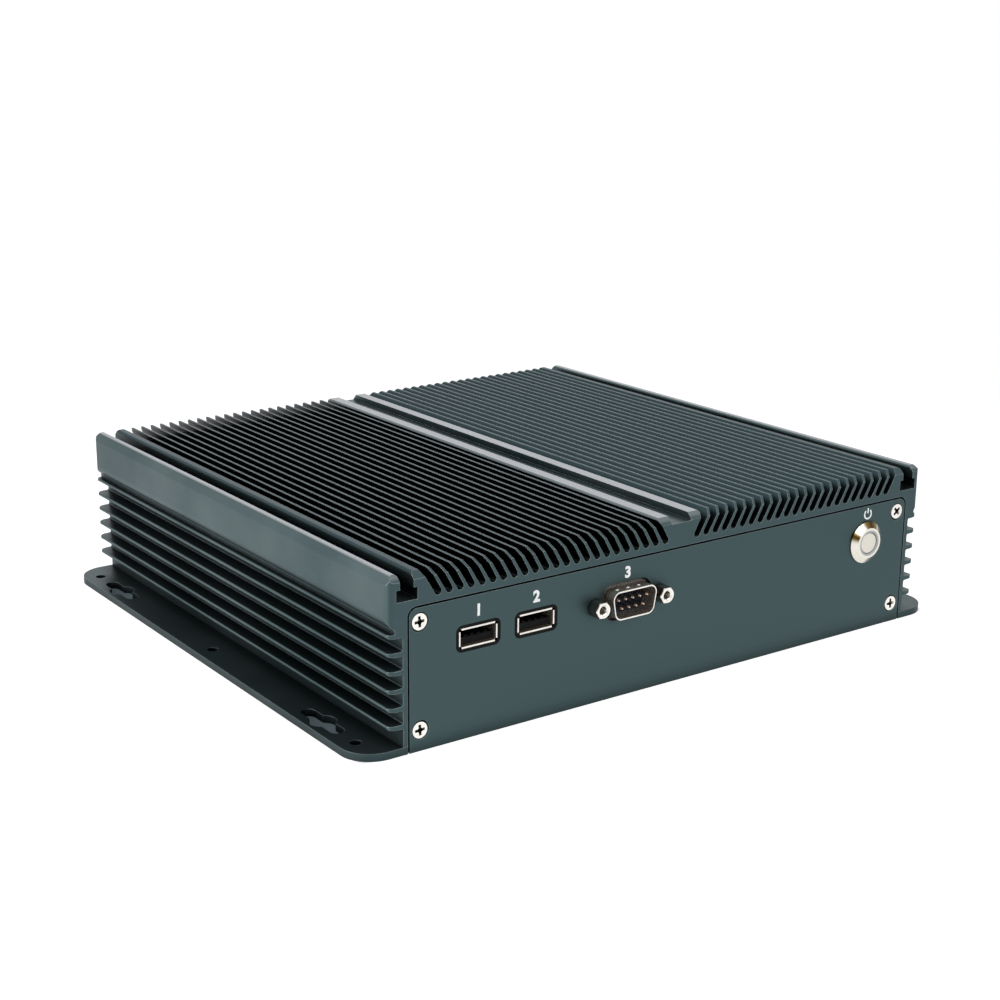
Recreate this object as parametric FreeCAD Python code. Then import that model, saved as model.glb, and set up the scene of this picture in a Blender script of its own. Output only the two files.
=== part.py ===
import FreeCAD, Part
import math
import os

# Fanless industrial PC. Millimetres. +X to the right along the front, +Y towards the back, +Z up.
# The origin is at the middle of the underside, so the front face is at y = -DEPTH / 2.

# ---- whole object
BASE_WIDTH = 234.0            # across the two mounting flanges
DEPTH = 200.0                 # front face to rear face
HEIGHT = 54.0                 # underside of the base plate to the fin tips

# ---- base plate and its flanges
BASE_THICKNESS = 2.4
BASE_CORNER_RADIUS = 10.0
FLANGE_ROW_INSET = 5.5        # holes and keyholes, in from the flange's outer edge
FLANGE_HOLE_DIAMETER = 3.6
FLANGE_HOLE_END = 10.8        # outer holes, in from the front and rear edges
KEYHOLE_END = 29.4            # middle of a keyhole, in from the front and rear edges
KEYHOLE_LENGTH = 21.0
KEYHOLE_SLOT = 4.6
KEYHOLE_DIAMETER = 8.6
BASE_SCREW_PITCH = 60.0       # three base screws along each side

# ---- end panels
PANEL_WIDTH = 199.9
PANEL_TOP_DROP = 10.5         # panel's top edge below the fin tips
PANEL_THICKNESS = 2.0
PANEL_CORNER_RADIUS = 2.6
PANEL_GAP = 0.6               # shadow gap between a panel and the housing
PANEL_SCREW_SIDE = 3.65       # screw centres, in from the panel's side edges
PANEL_SCREW_TOP = 4.4
PANEL_SCREW_BOTTOM = 6.5

# ---- housing extrusion
SIDE_WALL = 1.55
TOP_WEB = 1.9                 # metal left between the ceiling and the fin slots
END_CHAMFER = 2.0             # machined along the top edge of both ends
END_ROUND = 2.6               # upright edges of both ends, seen from above
SIDE_FIN_COUNT = 6            # the highest one is the lip under the rail's groove
SIDE_FIN_PITCH = 5.5
SIDE_FIN_TIP = 1.1            # thickness of a side fin at its tip
SIDE_FIN_ROOT = 1.5           # and at the wall
SIDE_FIN_TIP_ROUND = 0.5
SIDE_FIN_FILLET = 0.5
SIDE_FIN_REACH = 4.6
FIRST_SIDE_FIN = 6.45         # middle of the lowest fin above the base plate
RAIL_REACH = 4.8              # rail's outer face beyond the side wall
RAIL_BEVEL_DROP = 2.8         # where the rail's sloping shoulder starts, below the fin tips
RAIL_BEVEL_WIDTH = 1.8
RAIL_BEVEL_ROUND = 0.3
GROOVE_DEPTH = 2.2
GROOVE_HEIGHT = 1.4           # upright wall at the back of the groove
CURL_RISE = 1.2               # slope under the rail's outer face
CURL_ROUND = 4.0
T_SLOT_INSET = 6.3            # middle of the T-slot, in from the rail's outer face
T_SLOT_NECK = 4.6
T_SLOT_WIDTH = 7.1
T_SLOT_HEIGHT = 3.55
T_SLOT_FLOOR = 2.1            # metal between the ceiling and the T-slot
T_SLOT_ROUND = 1.0            # upper edges of the neck
SLOT_PITCH = 3.81
SLOT_LEAN = 30.0              # degrees from upright, away from the middle
SLOT_BOTTOM_WIDTH = 2.3
SLOT_TOP_WIDTH = 2.6
FIRST_SLOT_X = 6.35           # middle of the first slot's rounded bottom
LAST_FIN_MIN = 2.3            # least metal between the last slot and the T-slot
CHANNEL_HALF = 4.05
CHANNEL_DEPTH = 2.2
RIB_WIDTH = 3.85
RIB_BEVEL = 1.2
BOSS_MARGIN = 4.1             # boss metal round a panel screw's axis
BOARD_RAIL_WIDTH = 6.0
BOARD_RAIL_INSET = 8.0        # board rails, in from the board's side edges
CEILING_PAD_WIDTH = 66.0
CEILING_PAD_THICKNESS = 2.0

# ---- screws
SCREW_CLEARANCE = 0.05        # a shank in its tapped hole, all round
SCREW_HOLE_CLEARANCE = 0.2    # a shank in a plain hole, all round
HEAD_SINK = 0.1               # how far a countersunk head lies below its surface
PANEL_SCREW_HEAD = 5.4
PANEL_SCREW_SHANK = 2.9
PANEL_SCREW_LENGTH = 10.0
HEAD_RING = 0.3               # dark ring left round a countersunk head
PAN_HEAD_DIAMETER = 5.4
PAN_HEAD_HEIGHT = 1.7
PAN_HEAD_CROWN_DIAMETER = 4.3
PAN_HEAD_EDGE = 1.0           # height of the head's upright edge
BOARD_SCREW_SHANK = 2.9
BOARD_SCREW_LENGTH = 6.5

# ---- front row of connectors
PORT_AXIS_DROP = 12.5         # axis of the whole row, below the panel's top edge
PORT_INSET = 23.75            # first data port, in from the panel's left edge
PORT_PITCH = 20.7
SERIAL_INSET = 78.95          # serial port, in from the panel's left edge
BUTTON_INSET = 18.15          # power button, in from the panel's right edge

# ---- data port, type A, with its tongue below the contacts
PORT_OPENING_WIDTH = 12.5
PORT_OPENING_HEIGHT = 5.12
PORT_SHEET = 0.3
PORT_SHELL_DEPTH = 12.0
PORT_LIP_FLARE = 0.85         # each lip's spread beyond the opening's edge
PORT_LIP_DEPTH = 0.7
PORT_LIP_NOTCH = 0.4          # gap between neighbouring lips at each corner
PORT_LIP_SINK = 0.1           # lips lie this far below the panel's face
PORT_WINDOW_GAP = 0.25        # panel cut-out beyond the lips, all round
PORT_WINDOW_RADIUS = 1.6
PORT_TONGUE_WIDTH = 11.1
PORT_TONGUE_THICKNESS = 1.84
PORT_TONGUE_DROP = 1.0        # middle of the tongue below the port's axis
PORT_TONGUE_SETBACK = 1.2
PORT_INSERT_DEPTH = 3.2       # solid insert at the back of the shell
PORT_FOOT_DEPTH = 3.5
PORT_CONTACT_WIDTH = 1.0
PORT_CONTACT_PITCH = 2.3
PORT_CONTACT_HEIGHT = 0.25
PORT_TO_BOARD = 3.6           # from the port's axis up to the board's underside
INSERT_CLEARANCE = 0.05       # plastic inserts inside their metal shells

# ---- serial port, nine pins, male
SERIAL_WIDTH = 17.8
SERIAL_HEIGHT = 9.2
SERIAL_RADIUS = 2.6
SERIAL_SLANT = 10.0           # degrees, the D shape's sides
SERIAL_SHEET = 0.45
SERIAL_REACH = 3.8            # the shell stands out of the panel
SERIAL_DEPTH_TO_INSERT = 5.9
SERIAL_ROOT_FLARE = 0.9
SERIAL_ROOT_DEPTH = 1.1
SERIAL_WINDOW_GAP = 1.3       # panel cut-out beyond the shell, all round
SERIAL_FLANGE_WIDTH = 30.8
SERIAL_FLANGE_HEIGHT = 12.5
SERIAL_FLANGE_THICKNESS = 0.8
SERIAL_BODY_WIDTH = 19.2
SERIAL_BODY_HEIGHT = 10.6
SERIAL_BODY_DEPTH = 9.0
SERIAL_PIN_DIAMETER = 1.02
SERIAL_PIN_LENGTH = 5.0
SERIAL_PIN_PITCH = 2.77
SERIAL_ROW_PITCH = 2.84
JACKSCREW_SPACING = 24.99
JACKSCREW_ACROSS_FLATS = 4.9
JACKSCREW_REACH = 4.4
JACKSCREW_BORE = 2.5
JACKSCREW_BORE_DEPTH = 4.0
JACKSCREW_STUD = 2.8
JACKSCREW_STUD_LENGTH = 5.5

# ---- power button
BUTTON_BEZEL_DIAMETER = 14.3
BUTTON_BEZEL_EDGE = 0.5
BUTTON_BEZEL_REACH = 1.9
BUTTON_CROWN_DIAMETER = 10.4  # flat crown of the bezel round the light ring
BUTTON_BARREL_DIAMETER = 12.0
BUTTON_BARREL_LENGTH = 16.0
BUTTON_WALL = 1.1             # barrel wall behind the light ring
BUTTON_RING_DIAMETER = 8.7
BUTTON_RING_LENGTH = 3.4
BUTTON_CAP_DIAMETER = 7.3
BUTTON_CAP_BEVEL = 0.3
BUTTON_CAP_CROWN = 0.3        # cap's edge stands this far below the bezel's crown
BUTTON_FLANGE_DIAMETER = 8.6
BUTTON_FLANGE_THICKNESS = 1.0
BUTTON_STEM_DIAMETER = 3.0
BUTTON_TRAVEL = 1.5
BUTTON_RUNNING_GAP = 0.06     # radial, cap inside the light ring
BUTTON_REST_GAP = 0.1         # flange behind the light ring, when not pressed
BUTTON_END_GAP = 0.4          # stem's end to the bottom of its hole, fully pressed
BUTTON_NUT_ACROSS_FLATS = 15.0
BUTTON_NUT_THICKNESS = 2.2
BUTTON_HOLE_GAP = 0.1         # panel hole beyond the barrel, all round
BUTTON_TERMINAL = 1.2
BUTTON_TERMINAL_LENGTH = 3.0

# ---- rear connectors, hung from the board; x is seen from the front
WINDOW_GAP = 0.3              # rear panel cut-outs beyond their connectors
REAR_PROUD = 0.3              # rear connector faces stand out of the panel
STACK_X = (46.0, 28.0)
STACK_WIDTH = 13.7
STACK_HEIGHT = 15.4
STACK_PORT_PITCH = 7.4
STACK_DEPTH = 17.0
NETWORK_X = (9.0, -10.0)
NETWORK_WIDTH = 15.9
NETWORK_HEIGHT = 13.3
NETWORK_DEPTH = 16.0
NETWORK_SHEET = 0.35
NETWORK_CAVITY_WIDTH = 11.8
NETWORK_CAVITY_HEIGHT = 6.9
NETWORK_CAVITY_DEPTH = 12.5
NETWORK_LATCH_WIDTH = 6.2
NETWORK_LATCH_HEIGHT = 1.7
NETWORK_CONTACT_PITCH = 1.02
NETWORK_CONTACT_WIDTH = 0.45
NETWORK_CONTACTS = 8
VIDEO_X = -42.0
VIDEO_WIDTH = 14.0
VIDEO_HEIGHT = 4.6
VIDEO_SHEET = 0.4
VIDEO_DEPTH = 11.0
VIDEO_TONGUE_WIDTH = 11.0
VIDEO_TONGUE_THICKNESS = 1.1
POWER_X = 80.0
POWER_WIDTH = 10.4
POWER_HEIGHT = 11.0
POWER_DEPTH = 14.0
POWER_COLLAR_DIAMETER = 9.0
POWER_BORE_DIAMETER = 6.4
POWER_BORE_DEPTH = 9.5
POWER_PIN_DIAMETER = 2.5
AUDIO_X = (-68.0, -80.0)
AUDIO_WIDTH = 8.0
AUDIO_HEIGHT = 8.4
AUDIO_DEPTH = 12.0
AUDIO_COLLAR_DIAMETER = 6.0
AUDIO_BORE_DIAMETER = 3.6
AUDIO_BORE_DEPTH = 10.0
REAR_SERIAL_X = (-73.0, -40.0, 73.0)
REAR_SERIAL_Z = 11.0

# ---- main board and what it carries
BOARD_THICKNESS = 1.6
BOARD_SIDE_GAP = 2.2          # board edge to the panel screw bosses
BOARD_END_GAP = 3.0           # board edge to the end panels
BOARD_SCREW_END = 35.0        # end screws, in from the board's front and rear edges
BOARD_NOTCH_WIDTH = 20.0      # corner cut out of the board and its rail for the power button
BOARD_NOTCH_DEPTH = 24.0
PROCESSOR_Y = 20.0
PROCESSOR_SIZE = 37.5
PROCESSOR_THICKNESS = 1.0
LID_SIZE = 31.0
LID_THICKNESS = 1.1
THERMAL_PAD_THICKNESS = 0.3
SPREADER_SIZE = 62.0
SPREADER_SCREW_SPACING = 52.0
MEMORY_X = 36.0
MEMORY_Y = 20.0
MEMORY_ARM_WIDTH = 2.6
MEMORY_SOCKET_DEPTH = 6.5
MEMORY_SOCKET_HEIGHT = 5.2
MEMORY_MODULE_WIDTH = 67.6
MEMORY_MODULE_DEPTH = 30.0
MEMORY_MODULE_THICKNESS = 1.2
MEMORY_GRIP = 3.0             # module's edge inside its socket
STORAGE_X = -60.0
STORAGE_END = 29.0            # post at the card's free end, in from the rear face
STORAGE_CARD_LENGTH = 80.0
STORAGE_CARD_WIDTH = 22.0
STORAGE_CARD_THICKNESS = 0.8
STORAGE_SOCKET_DEPTH = 7.5
STORAGE_SOCKET_HEIGHT = 3.4
STORAGE_GRIP = 3.0
STORAGE_DROP = 1.7            # card's upper face below the board's underside
STORAGE_POST_DIAMETER = 5.5
CELL_X = -30.0
CELL_END = 33.0               # middle of the coin cell, in from the rear face
CELL_DIAMETER = 20.0
CELL_THICKNESS = 3.2
CELL_HOLDER_RIM = 1.2
CELL_HOLDER_FLOOR = 1.0
CHIP_PLACES = ((-58.0, 30.0, 14.0), (-58.0, 60.0, 12.0), (60.0, 62.0, 10.0), (58.0, -50.0, 16.0))
CHIP_THICKNESS = 1.2
CAPACITOR_DIAMETER = 6.3
CAPACITOR_HEIGHT = 5.8
CAPACITOR_COUNT = 6
CAPACITOR_PITCH = 9.0
CAPACITOR_X = 52.0
CAPACITOR_Y = -5.0
HEADER_HEIGHT = 5.0
HEADER_DEPTH = 5.2
SERIAL_HEADER_WIDTH = 12.7
BUTTON_HEADER_WIDTH = 5.0
HEADER_SETBACK = 26.0         # headers behind the front panel's face
LEAD_THICKNESS = 0.9
SERIAL_LEAD_WIDTH = 11.4
BUTTON_LEAD_WIDTH = 2.6
LEAD_BEND = 4.0

# ---- places worked out from the sizes above
FRONT_Y = -DEPTH / 2
REAR_Y = DEPTH / 2
PANEL_HEIGHT = HEIGHT - PANEL_TOP_DROP
PANEL_HALF = PANEL_WIDTH / 2
PORT_AXIS_Z = PANEL_HEIGHT - PORT_AXIS_DROP
CAVITY_HALF = PANEL_HALF + PANEL_GAP
CEILING_Z = PANEL_HEIGHT + PANEL_GAP
WALL_X = CAVITY_HALF + SIDE_WALL
RAIL_X = WALL_X + RAIL_REACH
FIN_TIP_X = WALL_X + SIDE_FIN_REACH
T_SLOT_X = RAIL_X - T_SLOT_INSET
T_SLOT_Z = CEILING_Z + T_SLOT_FLOOR
PANEL_SCREW_X = PANEL_HALF - PANEL_SCREW_SIDE
PANEL_SCREW_ZS = (PANEL_SCREW_BOTTOM, PANEL_HEIGHT - PANEL_SCREW_TOP)
INNER_Y = DEPTH / 2 - PANEL_THICKNESS
BOARD_Z = PORT_AXIS_Z + PORT_TO_BOARD
BOARD_TOP = BOARD_Z + BOARD_THICKNESS
BOARD_HALF_X = PANEL_SCREW_X - BOSS_MARGIN - BOARD_SIDE_GAP
BOARD_HALF_Y = INNER_Y - BOARD_END_GAP
BOARD_RAIL_X = BOARD_HALF_X - BOARD_RAIL_INSET
PORT_XS = (-PANEL_HALF + PORT_INSET, -PANEL_HALF + PORT_INSET + PORT_PITCH)
SERIAL_X = -PANEL_HALF + SERIAL_INSET
BUTTON_X = PANEL_HALF - BUTTON_INSET
FLANGE_ROW_X = BASE_WIDTH / 2 - FLANGE_ROW_INSET
FLANGE_HOLE_Y = DEPTH / 2 - FLANGE_HOLE_END
KEYHOLE_Y = DEPTH / 2 - KEYHOLE_END
BOARD_SCREW_Y = BOARD_HALF_Y - BOARD_SCREW_END
MEMORY_SOCKET_WIDTH = MEMORY_MODULE_WIDTH + 2 * (MEMORY_ARM_WIDTH + INSERT_CLEARANCE)
STORAGE_POST_Y = REAR_Y - STORAGE_END
CELL_Y = REAR_Y - CELL_END
STACK_Z = BOARD_Z - STACK_HEIGHT / 2
NETWORK_Z = BOARD_Z - NETWORK_HEIGHT / 2
VIDEO_Z = BOARD_Z - VIDEO_HEIGHT / 2 - VIDEO_SHEET
POWER_Z = BOARD_Z - POWER_HEIGHT / 2
AUDIO_Z = BOARD_Z - AUDIO_HEIGHT / 2
SLACK = 1.0                   # how far a cutting tool runs past the metal

V = FreeCAD.Vector
ALONG_X, ALONG_Y, ALONG_Z = V(1, 0, 0), V(0, 1, 0), V(0, 0, 1)


# ---- drawing helpers
def box(x0, x1, y0, y1, z0, z1):
    return Part.makeBox(x1 - x0, y1 - y0, z1 - z0, V(x0, y0, z0))


def block(width, height, y0, y1, x=0.0, z=0.0):
    """A box centred on (x, z), from y0 to y1."""
    return box(x - width / 2, x + width / 2, y0, y1, z - height / 2, z + height / 2)


def rod(diameter, start, length, axis):
    return Part.makeCylinder(diameter / 2, length, start, axis)


def face(start, *moves):
    """A closed face in the XZ plane. A move is a point, or (middle, end) for an arc."""
    edges = []
    here = start
    for move in moves + (start,):
        if isinstance(move[0], tuple):
            middle, end = move
            arc = Part.Arc(V(here[0], 0, here[1]), V(middle[0], 0, middle[1]), V(end[0], 0, end[1]))
            edges.append(arc.toShape())
            here = end
        elif move != here:
            edges.append(Part.LineSegment(V(here[0], 0, here[1]), V(move[0], 0, move[1])).toShape())
            here = move
    return Part.Face(Part.Wire(edges))


def corner_moves(corner, previous, following, radius):
    """The moves that round one corner of an outline."""
    before = unit(corner, previous)
    after = unit(corner, following)
    half_angle = math.acos(before[0] * after[0] + before[1] * after[1]) / 2
    middle = unit((0, 0), (before[0] + after[0], before[1] + after[1]))
    run = radius / math.tan(half_angle)
    reach = radius / math.sin(half_angle) - radius
    return [shifted(corner, before, run), (shifted(corner, middle, reach), shifted(corner, after, run))]


def rounded(points, radius):
    """A face in the XZ plane with every corner rounded. radius is one number, or one for each corner."""
    radii = radius if isinstance(radius, tuple) else (radius,) * len(points)
    moves = []
    for index, corner in enumerate(points):
        if radii[index] == 0:
            moves.append(corner)
            continue
        following = points[(index + 1) % len(points)]
        moves += corner_moves(corner, points[index - 1], following, radii[index])
    return face(*close_up(moves))


def close_up(moves):
    """Start the outline at a plain point, so that face() can close it with a line."""
    if isinstance(moves[-1][0], tuple):
        return [moves[-1][1]] + moves
    return [moves[-1]] + moves[:-1]


def unit(start, end):
    length = math.hypot(end[0] - start[0], end[1] - start[1])
    return ((end[0] - start[0]) / length, (end[1] - start[1]) / length)


def shifted(point, direction, distance):
    return (point[0] + direction[0] * distance, point[1] + direction[1] * distance)


def rectangle(width, height, radius=0.0, x=0.0, z=0.0):
    left, right, low, high = x - width / 2, x + width / 2, z - height / 2, z + height / 2
    return rounded([(left, low), (right, low), (right, high), (left, high)], radius)


def d_shape(width, height, radius):
    """The serial port's outline: wide at the top, its sides drawn in towards the bottom."""
    inset = height * math.tan(math.radians(SERIAL_SLANT))
    top, low = height / 2, -height / 2
    half = width / 2
    return rounded([(-half + inset, low), (half - inset, low), (half, top), (-half, top)], radius)


def round_cornered(half_width, z0, z1, radius):
    """A block over the whole depth with its four upright edges rounded."""
    whole = box(-half_width, half_width, FRONT_Y, REAR_Y, z0, z1)
    uprights = [edge for edge in whole.Edges if abs(edge.tangentAt(edge.FirstParameter).z) > 0.9]
    return whole.makeFillet(radius, uprights)


def prism(outline, y0, y1):
    """A face of the XZ plane made solid from y0 to y1."""
    section = outline.copy()
    section.translate(V(0, y0, 0))
    return section.extrude(V(0, y1 - y0, 0))


def hexagon(across_flats):
    radius = across_flats / math.sqrt(3)
    turns = [math.radians(60 * side) for side in range(6)]
    corners = [(radius * math.cos(turn), radius * math.sin(turn)) for turn in turns]
    return face(*corners)


def turned(profile, axis_point, axis):
    """A solid of revolution from a list of (radius, distance along the axis)."""
    points = [V(r, d, 0) for r, d in profile]
    points.append(points[0])
    solid = Part.Face(Part.makePolygon(points)).revolve(V(0, 0, 0), V(0, 1, 0), 360)
    solid.Placement = FreeCAD.Placement(axis_point, FreeCAD.Rotation(V(0, 1, 0), axis))
    return solid


def moved(shape, x, y, z):
    copy = shape.copy()
    copy.translate(V(x, y, z))
    return copy


def at_front(shape, x, z):
    """Place a connector drawn with its mouth at y = 0 into the front panel."""
    return moved(shape, x, FRONT_Y, z)


def at_rear(shape, x, z):
    """The same, into the rear panel, facing backwards."""
    copy = shape.copy()
    copy.rotate(V(0, 0, 0), ALONG_Z, 180)
    return moved(copy, x, REAR_Y, z)


def group(solids):
    return Part.Compound(solids)


# ---- screws
def countersunk_screw(point, axis):
    """A countersunk screw; point is on the surface that it is sunk into, axis runs into the metal."""
    head, shank = PANEL_SCREW_HEAD / 2, PANEL_SCREW_SHANK / 2
    cone = head - shank
    profile = [(0, HEAD_SINK), (head, HEAD_SINK), (shank, HEAD_SINK + cone),
               (shank, HEAD_SINK + PANEL_SCREW_LENGTH), (0, HEAD_SINK + PANEL_SCREW_LENGTH)]
    return turned(profile, point, axis)


def countersink(point, axis):
    """The hole that a countersunk screw passes through, with its sink."""
    head, shank = PANEL_SCREW_HEAD / 2 + HEAD_RING, PANEL_SCREW_SHANK / 2 + SCREW_HOLE_CLEARANCE
    depth = PANEL_THICKNESS + BASE_THICKNESS
    profile = [(0, -SLACK), (head, -SLACK), (head, HEAD_SINK), (shank, HEAD_SINK + head - shank),
               (shank, depth), (0, depth)]
    return turned(profile, point, axis)


def tapped_hole(point, axis, shank, length):
    return rod(shank + 2 * SCREW_CLEARANCE, point, length + SLACK, axis)


def pan_screw(point, axis, length):
    """A pan head screw; point is on the surface under its head, axis runs into the metal."""
    head, shank = PAN_HEAD_DIAMETER / 2, BOARD_SCREW_SHANK / 2
    crown = PAN_HEAD_CROWN_DIAMETER / 2
    profile = [(0, -PAN_HEAD_HEIGHT), (crown, -PAN_HEAD_HEIGHT), (head, -PAN_HEAD_EDGE), (head, 0),
               (shank, 0), (shank, length), (0, length)]
    return turned(profile, point, axis)


def panel_screw_points():
    return [(x, z) for x in (-PANEL_SCREW_X, PANEL_SCREW_X) for z in PANEL_SCREW_ZS]


def base_screw_points():
    return [V(x, row * BASE_SCREW_PITCH, 0) for x in (-PANEL_SCREW_X, PANEL_SCREW_X) for row in (-1, 0, 1)]


def board_screw_points():
    return [(x, row * BOARD_SCREW_Y) for x in (-BOARD_RAIL_X, BOARD_RAIL_X) for row in (-1, 0, 1)]


def spreader_screw_points():
    half = SPREADER_SCREW_SPACING / 2
    return [(x, PROCESSOR_Y + y) for x in (-half, half) for y in (-half, half)]


# ---- housing
def side_fin_z(index):
    return BASE_THICKNESS + FIRST_SIDE_FIN + index * SIDE_FIN_PITCH


def side_fin_corners():
    """The right-hand side fins from the lowest up, as pairs of a corner and its radius."""
    tip, root = SIDE_FIN_TIP / 2, SIDE_FIN_ROOT / 2
    corners = []
    for index in range(SIDE_FIN_COUNT):
        middle = side_fin_z(index)
        corners += [((WALL_X, middle - root), SIDE_FIN_FILLET),
                    ((FIN_TIP_X, middle - tip), SIDE_FIN_TIP_ROUND),
                    ((FIN_TIP_X, middle + tip), SIDE_FIN_TIP_ROUND),
                    ((WALL_X, middle + root), SIDE_FIN_FILLET)]
    return corners[:-1]


def rail_corners():
    """The groove over the highest side fin, the rail and its T-slot, up to the inside of the neck."""
    groove_x = RAIL_X - GROOVE_DEPTH
    lip_top = side_fin_z(SIDE_FIN_COUNT - 1) + SIDE_FIN_TIP / 2
    curl = lip_top + GROOVE_HEIGHT
    neck, wide = T_SLOT_NECK / 2, T_SLOT_WIDTH / 2
    shoulder = T_SLOT_Z + T_SLOT_HEIGHT
    return [((groove_x, lip_top), 0), ((groove_x, curl), 0), ((RAIL_X, curl + CURL_RISE), CURL_ROUND),
            ((RAIL_X, HEIGHT - RAIL_BEVEL_DROP), RAIL_BEVEL_ROUND),
            ((RAIL_X - RAIL_BEVEL_WIDTH, HEIGHT), T_SLOT_ROUND),
            ((T_SLOT_X + neck, HEIGHT), T_SLOT_ROUND), ((T_SLOT_X + neck, shoulder), 0),
            ((T_SLOT_X + wide, shoulder), 0), ((T_SLOT_X + wide, T_SLOT_Z), 0),
            ((T_SLOT_X - wide, T_SLOT_Z), 0), ((T_SLOT_X - wide, shoulder), 0),
            ((T_SLOT_X - neck, shoulder), 0), ((T_SLOT_X - neck, HEIGHT), T_SLOT_ROUND)]


def slot_count():
    """As many slots as fit between the middle rib and the T-slot."""
    lean = math.radians(SLOT_LEAN)
    rise = HEIGHT - CEILING_Z - TOP_WEB - SLOT_BOTTOM_WIDTH / 2
    top_of_first = FIRST_SLOT_X + rise * math.tan(lean) + SLOT_TOP_WIDTH / 2 / math.cos(lean)
    room = T_SLOT_X - T_SLOT_NECK / 2 - LAST_FIN_MIN - top_of_first
    return 1 + int(room / SLOT_PITCH)


def fin_slot(index):
    """One leaning slot between two top fins, with a rounded bottom."""
    lean = math.radians(SLOT_LEAN)
    up = (math.sin(lean), math.cos(lean))
    across = (math.cos(lean), -math.sin(lean))
    low = (FIRST_SLOT_X + index * SLOT_PITCH, CEILING_Z + TOP_WEB + SLOT_BOTTOM_WIDTH / 2)
    length = (HEIGHT + SLACK - low[1]) / math.cos(lean)
    high = shifted(low, up, length)
    return face(shifted(low, across, -SLOT_BOTTOM_WIDTH / 2),
                (shifted(low, up, -SLOT_BOTTOM_WIDTH / 2), shifted(low, across, SLOT_BOTTOM_WIDTH / 2)),
                shifted(high, across, SLOT_TOP_WIDTH / 2), shifted(high, across, -SLOT_TOP_WIDTH / 2))


def middle_rib_bevel():
    """The sloping outer shoulder of a middle rib, which runs into the first slot."""
    x = CHANNEL_HALF + RIB_WIDTH
    return face((x, HEIGHT), (x + RIB_BEVEL, HEIGHT - RIB_BEVEL), (x + 2 * RIB_BEVEL, HEIGHT - RIB_BEVEL),
                (x + 2 * RIB_BEVEL, HEIGHT + SLACK), (x, HEIGHT + SLACK))


def housing_section():
    """The extrusion's section: the right half with its slots, and its mirror image."""
    floor = HEIGHT - CHANNEL_DEPTH
    corners = [((0.0, CEILING_Z), 0), ((CAVITY_HALF, CEILING_Z), PANEL_CORNER_RADIUS + PANEL_GAP),
               ((CAVITY_HALF, BASE_THICKNESS), 0), ((WALL_X, BASE_THICKNESS), 0)]
    corners += side_fin_corners() + rail_corners()
    corners += [((CHANNEL_HALF, HEIGHT), 0), ((CHANNEL_HALF, floor), 0), ((0.0, floor), 0)]
    half = rounded([point for point, radius in corners], tuple(radius for point, radius in corners))
    slots = [fin_slot(index) for index in range(slot_count())]
    half = half.cut(slots + [middle_rib_bevel()])
    return half.fuse(half.mirror(V(0, 0, 0), ALONG_X)).removeSplitter()


def inner_sections():
    """Bosses for the panel screws, board rails and the ceiling pad: they stop short of the panels."""
    low, high = PANEL_SCREW_ZS
    inner = PANEL_SCREW_X - BOSS_MARGIN
    sections = []
    for side in (-1, 1):
        x = side * (inner + CAVITY_HALF + SIDE_WALL / 2) / 2
        width = CAVITY_HALF + SIDE_WALL / 2 - inner
        top, bottom = CEILING_Z + TOP_WEB / 2, low + BOSS_MARGIN
        sections.append(rectangle(width, bottom - BASE_THICKNESS, 0.0, x, (bottom + BASE_THICKNESS) / 2))
        sections.append(rectangle(width, top - high + BOSS_MARGIN, 0.0, x, (top + high - BOSS_MARGIN) / 2))
        rail_z = (top + BOARD_TOP) / 2
        sections.append(rectangle(BOARD_RAIL_WIDTH, top - BOARD_TOP, 0.0, side * BOARD_RAIL_X, rail_z))
    pad = CEILING_PAD_THICKNESS + TOP_WEB / 2
    sections.append(rectangle(CEILING_PAD_WIDTH, pad, 0.0, 0.0, CEILING_Z - CEILING_PAD_THICKNESS + pad / 2))
    return sections


def end_chamfer(end_y, inwards):
    """The wedge milled off the top edge of one end."""
    profile = [V(0, end_y - inwards * SLACK, HEIGHT - END_CHAMFER - SLACK),
               V(0, end_y + inwards * (END_CHAMFER + SLACK), HEIGHT + SLACK),
               V(0, end_y - inwards * SLACK, HEIGHT + SLACK)]
    wedge = Part.Face(Part.makePolygon(profile + profile[:1])).extrude(V(2 * RAIL_X + 2 * SLACK, 0, 0))
    wedge.translate(V(-RAIL_X - SLACK, 0, 0))
    return wedge


def housing():
    body = prism(housing_section(), FRONT_Y, REAR_Y)
    body = body.fuse([prism(section, -INNER_Y, INNER_Y) for section in inner_sections()]).removeSplitter()
    body = body.common(round_cornered(RAIL_X, BASE_THICKNESS - SLACK, HEIGHT + SLACK, END_ROUND))
    cuts = [end_chamfer(FRONT_Y, 1), end_chamfer(REAR_Y, -1)]
    depth = PANEL_SCREW_LENGTH - PANEL_THICKNESS
    for x, z in panel_screw_points():
        cuts.append(tapped_hole(V(x, -INNER_Y, z), ALONG_Y, PANEL_SCREW_SHANK, depth))
        cuts.append(tapped_hole(V(x, INNER_Y, z), -ALONG_Y, PANEL_SCREW_SHANK, depth))
    for point in base_screw_points():
        start = V(point.x, point.y, BASE_THICKNESS)
        cuts.append(tapped_hole(start, ALONG_Z, PANEL_SCREW_SHANK, base_screw_depth()))
    grip = BOARD_SCREW_LENGTH - BOARD_THICKNESS
    for x, y in board_screw_points():
        cuts.append(tapped_hole(V(x, y, BOARD_TOP), ALONG_Z, BOARD_SCREW_SHANK, grip))
    for x, y in spreader_screw_points():
        start = V(x, y, spreader_top())
        cuts.append(tapped_hole(start, ALONG_Z, BOARD_SCREW_SHANK, spreader_screw_grip()))
    cuts.append(button_notch(BOARD_TOP, CEILING_Z))
    return body.cut(cuts)


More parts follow.
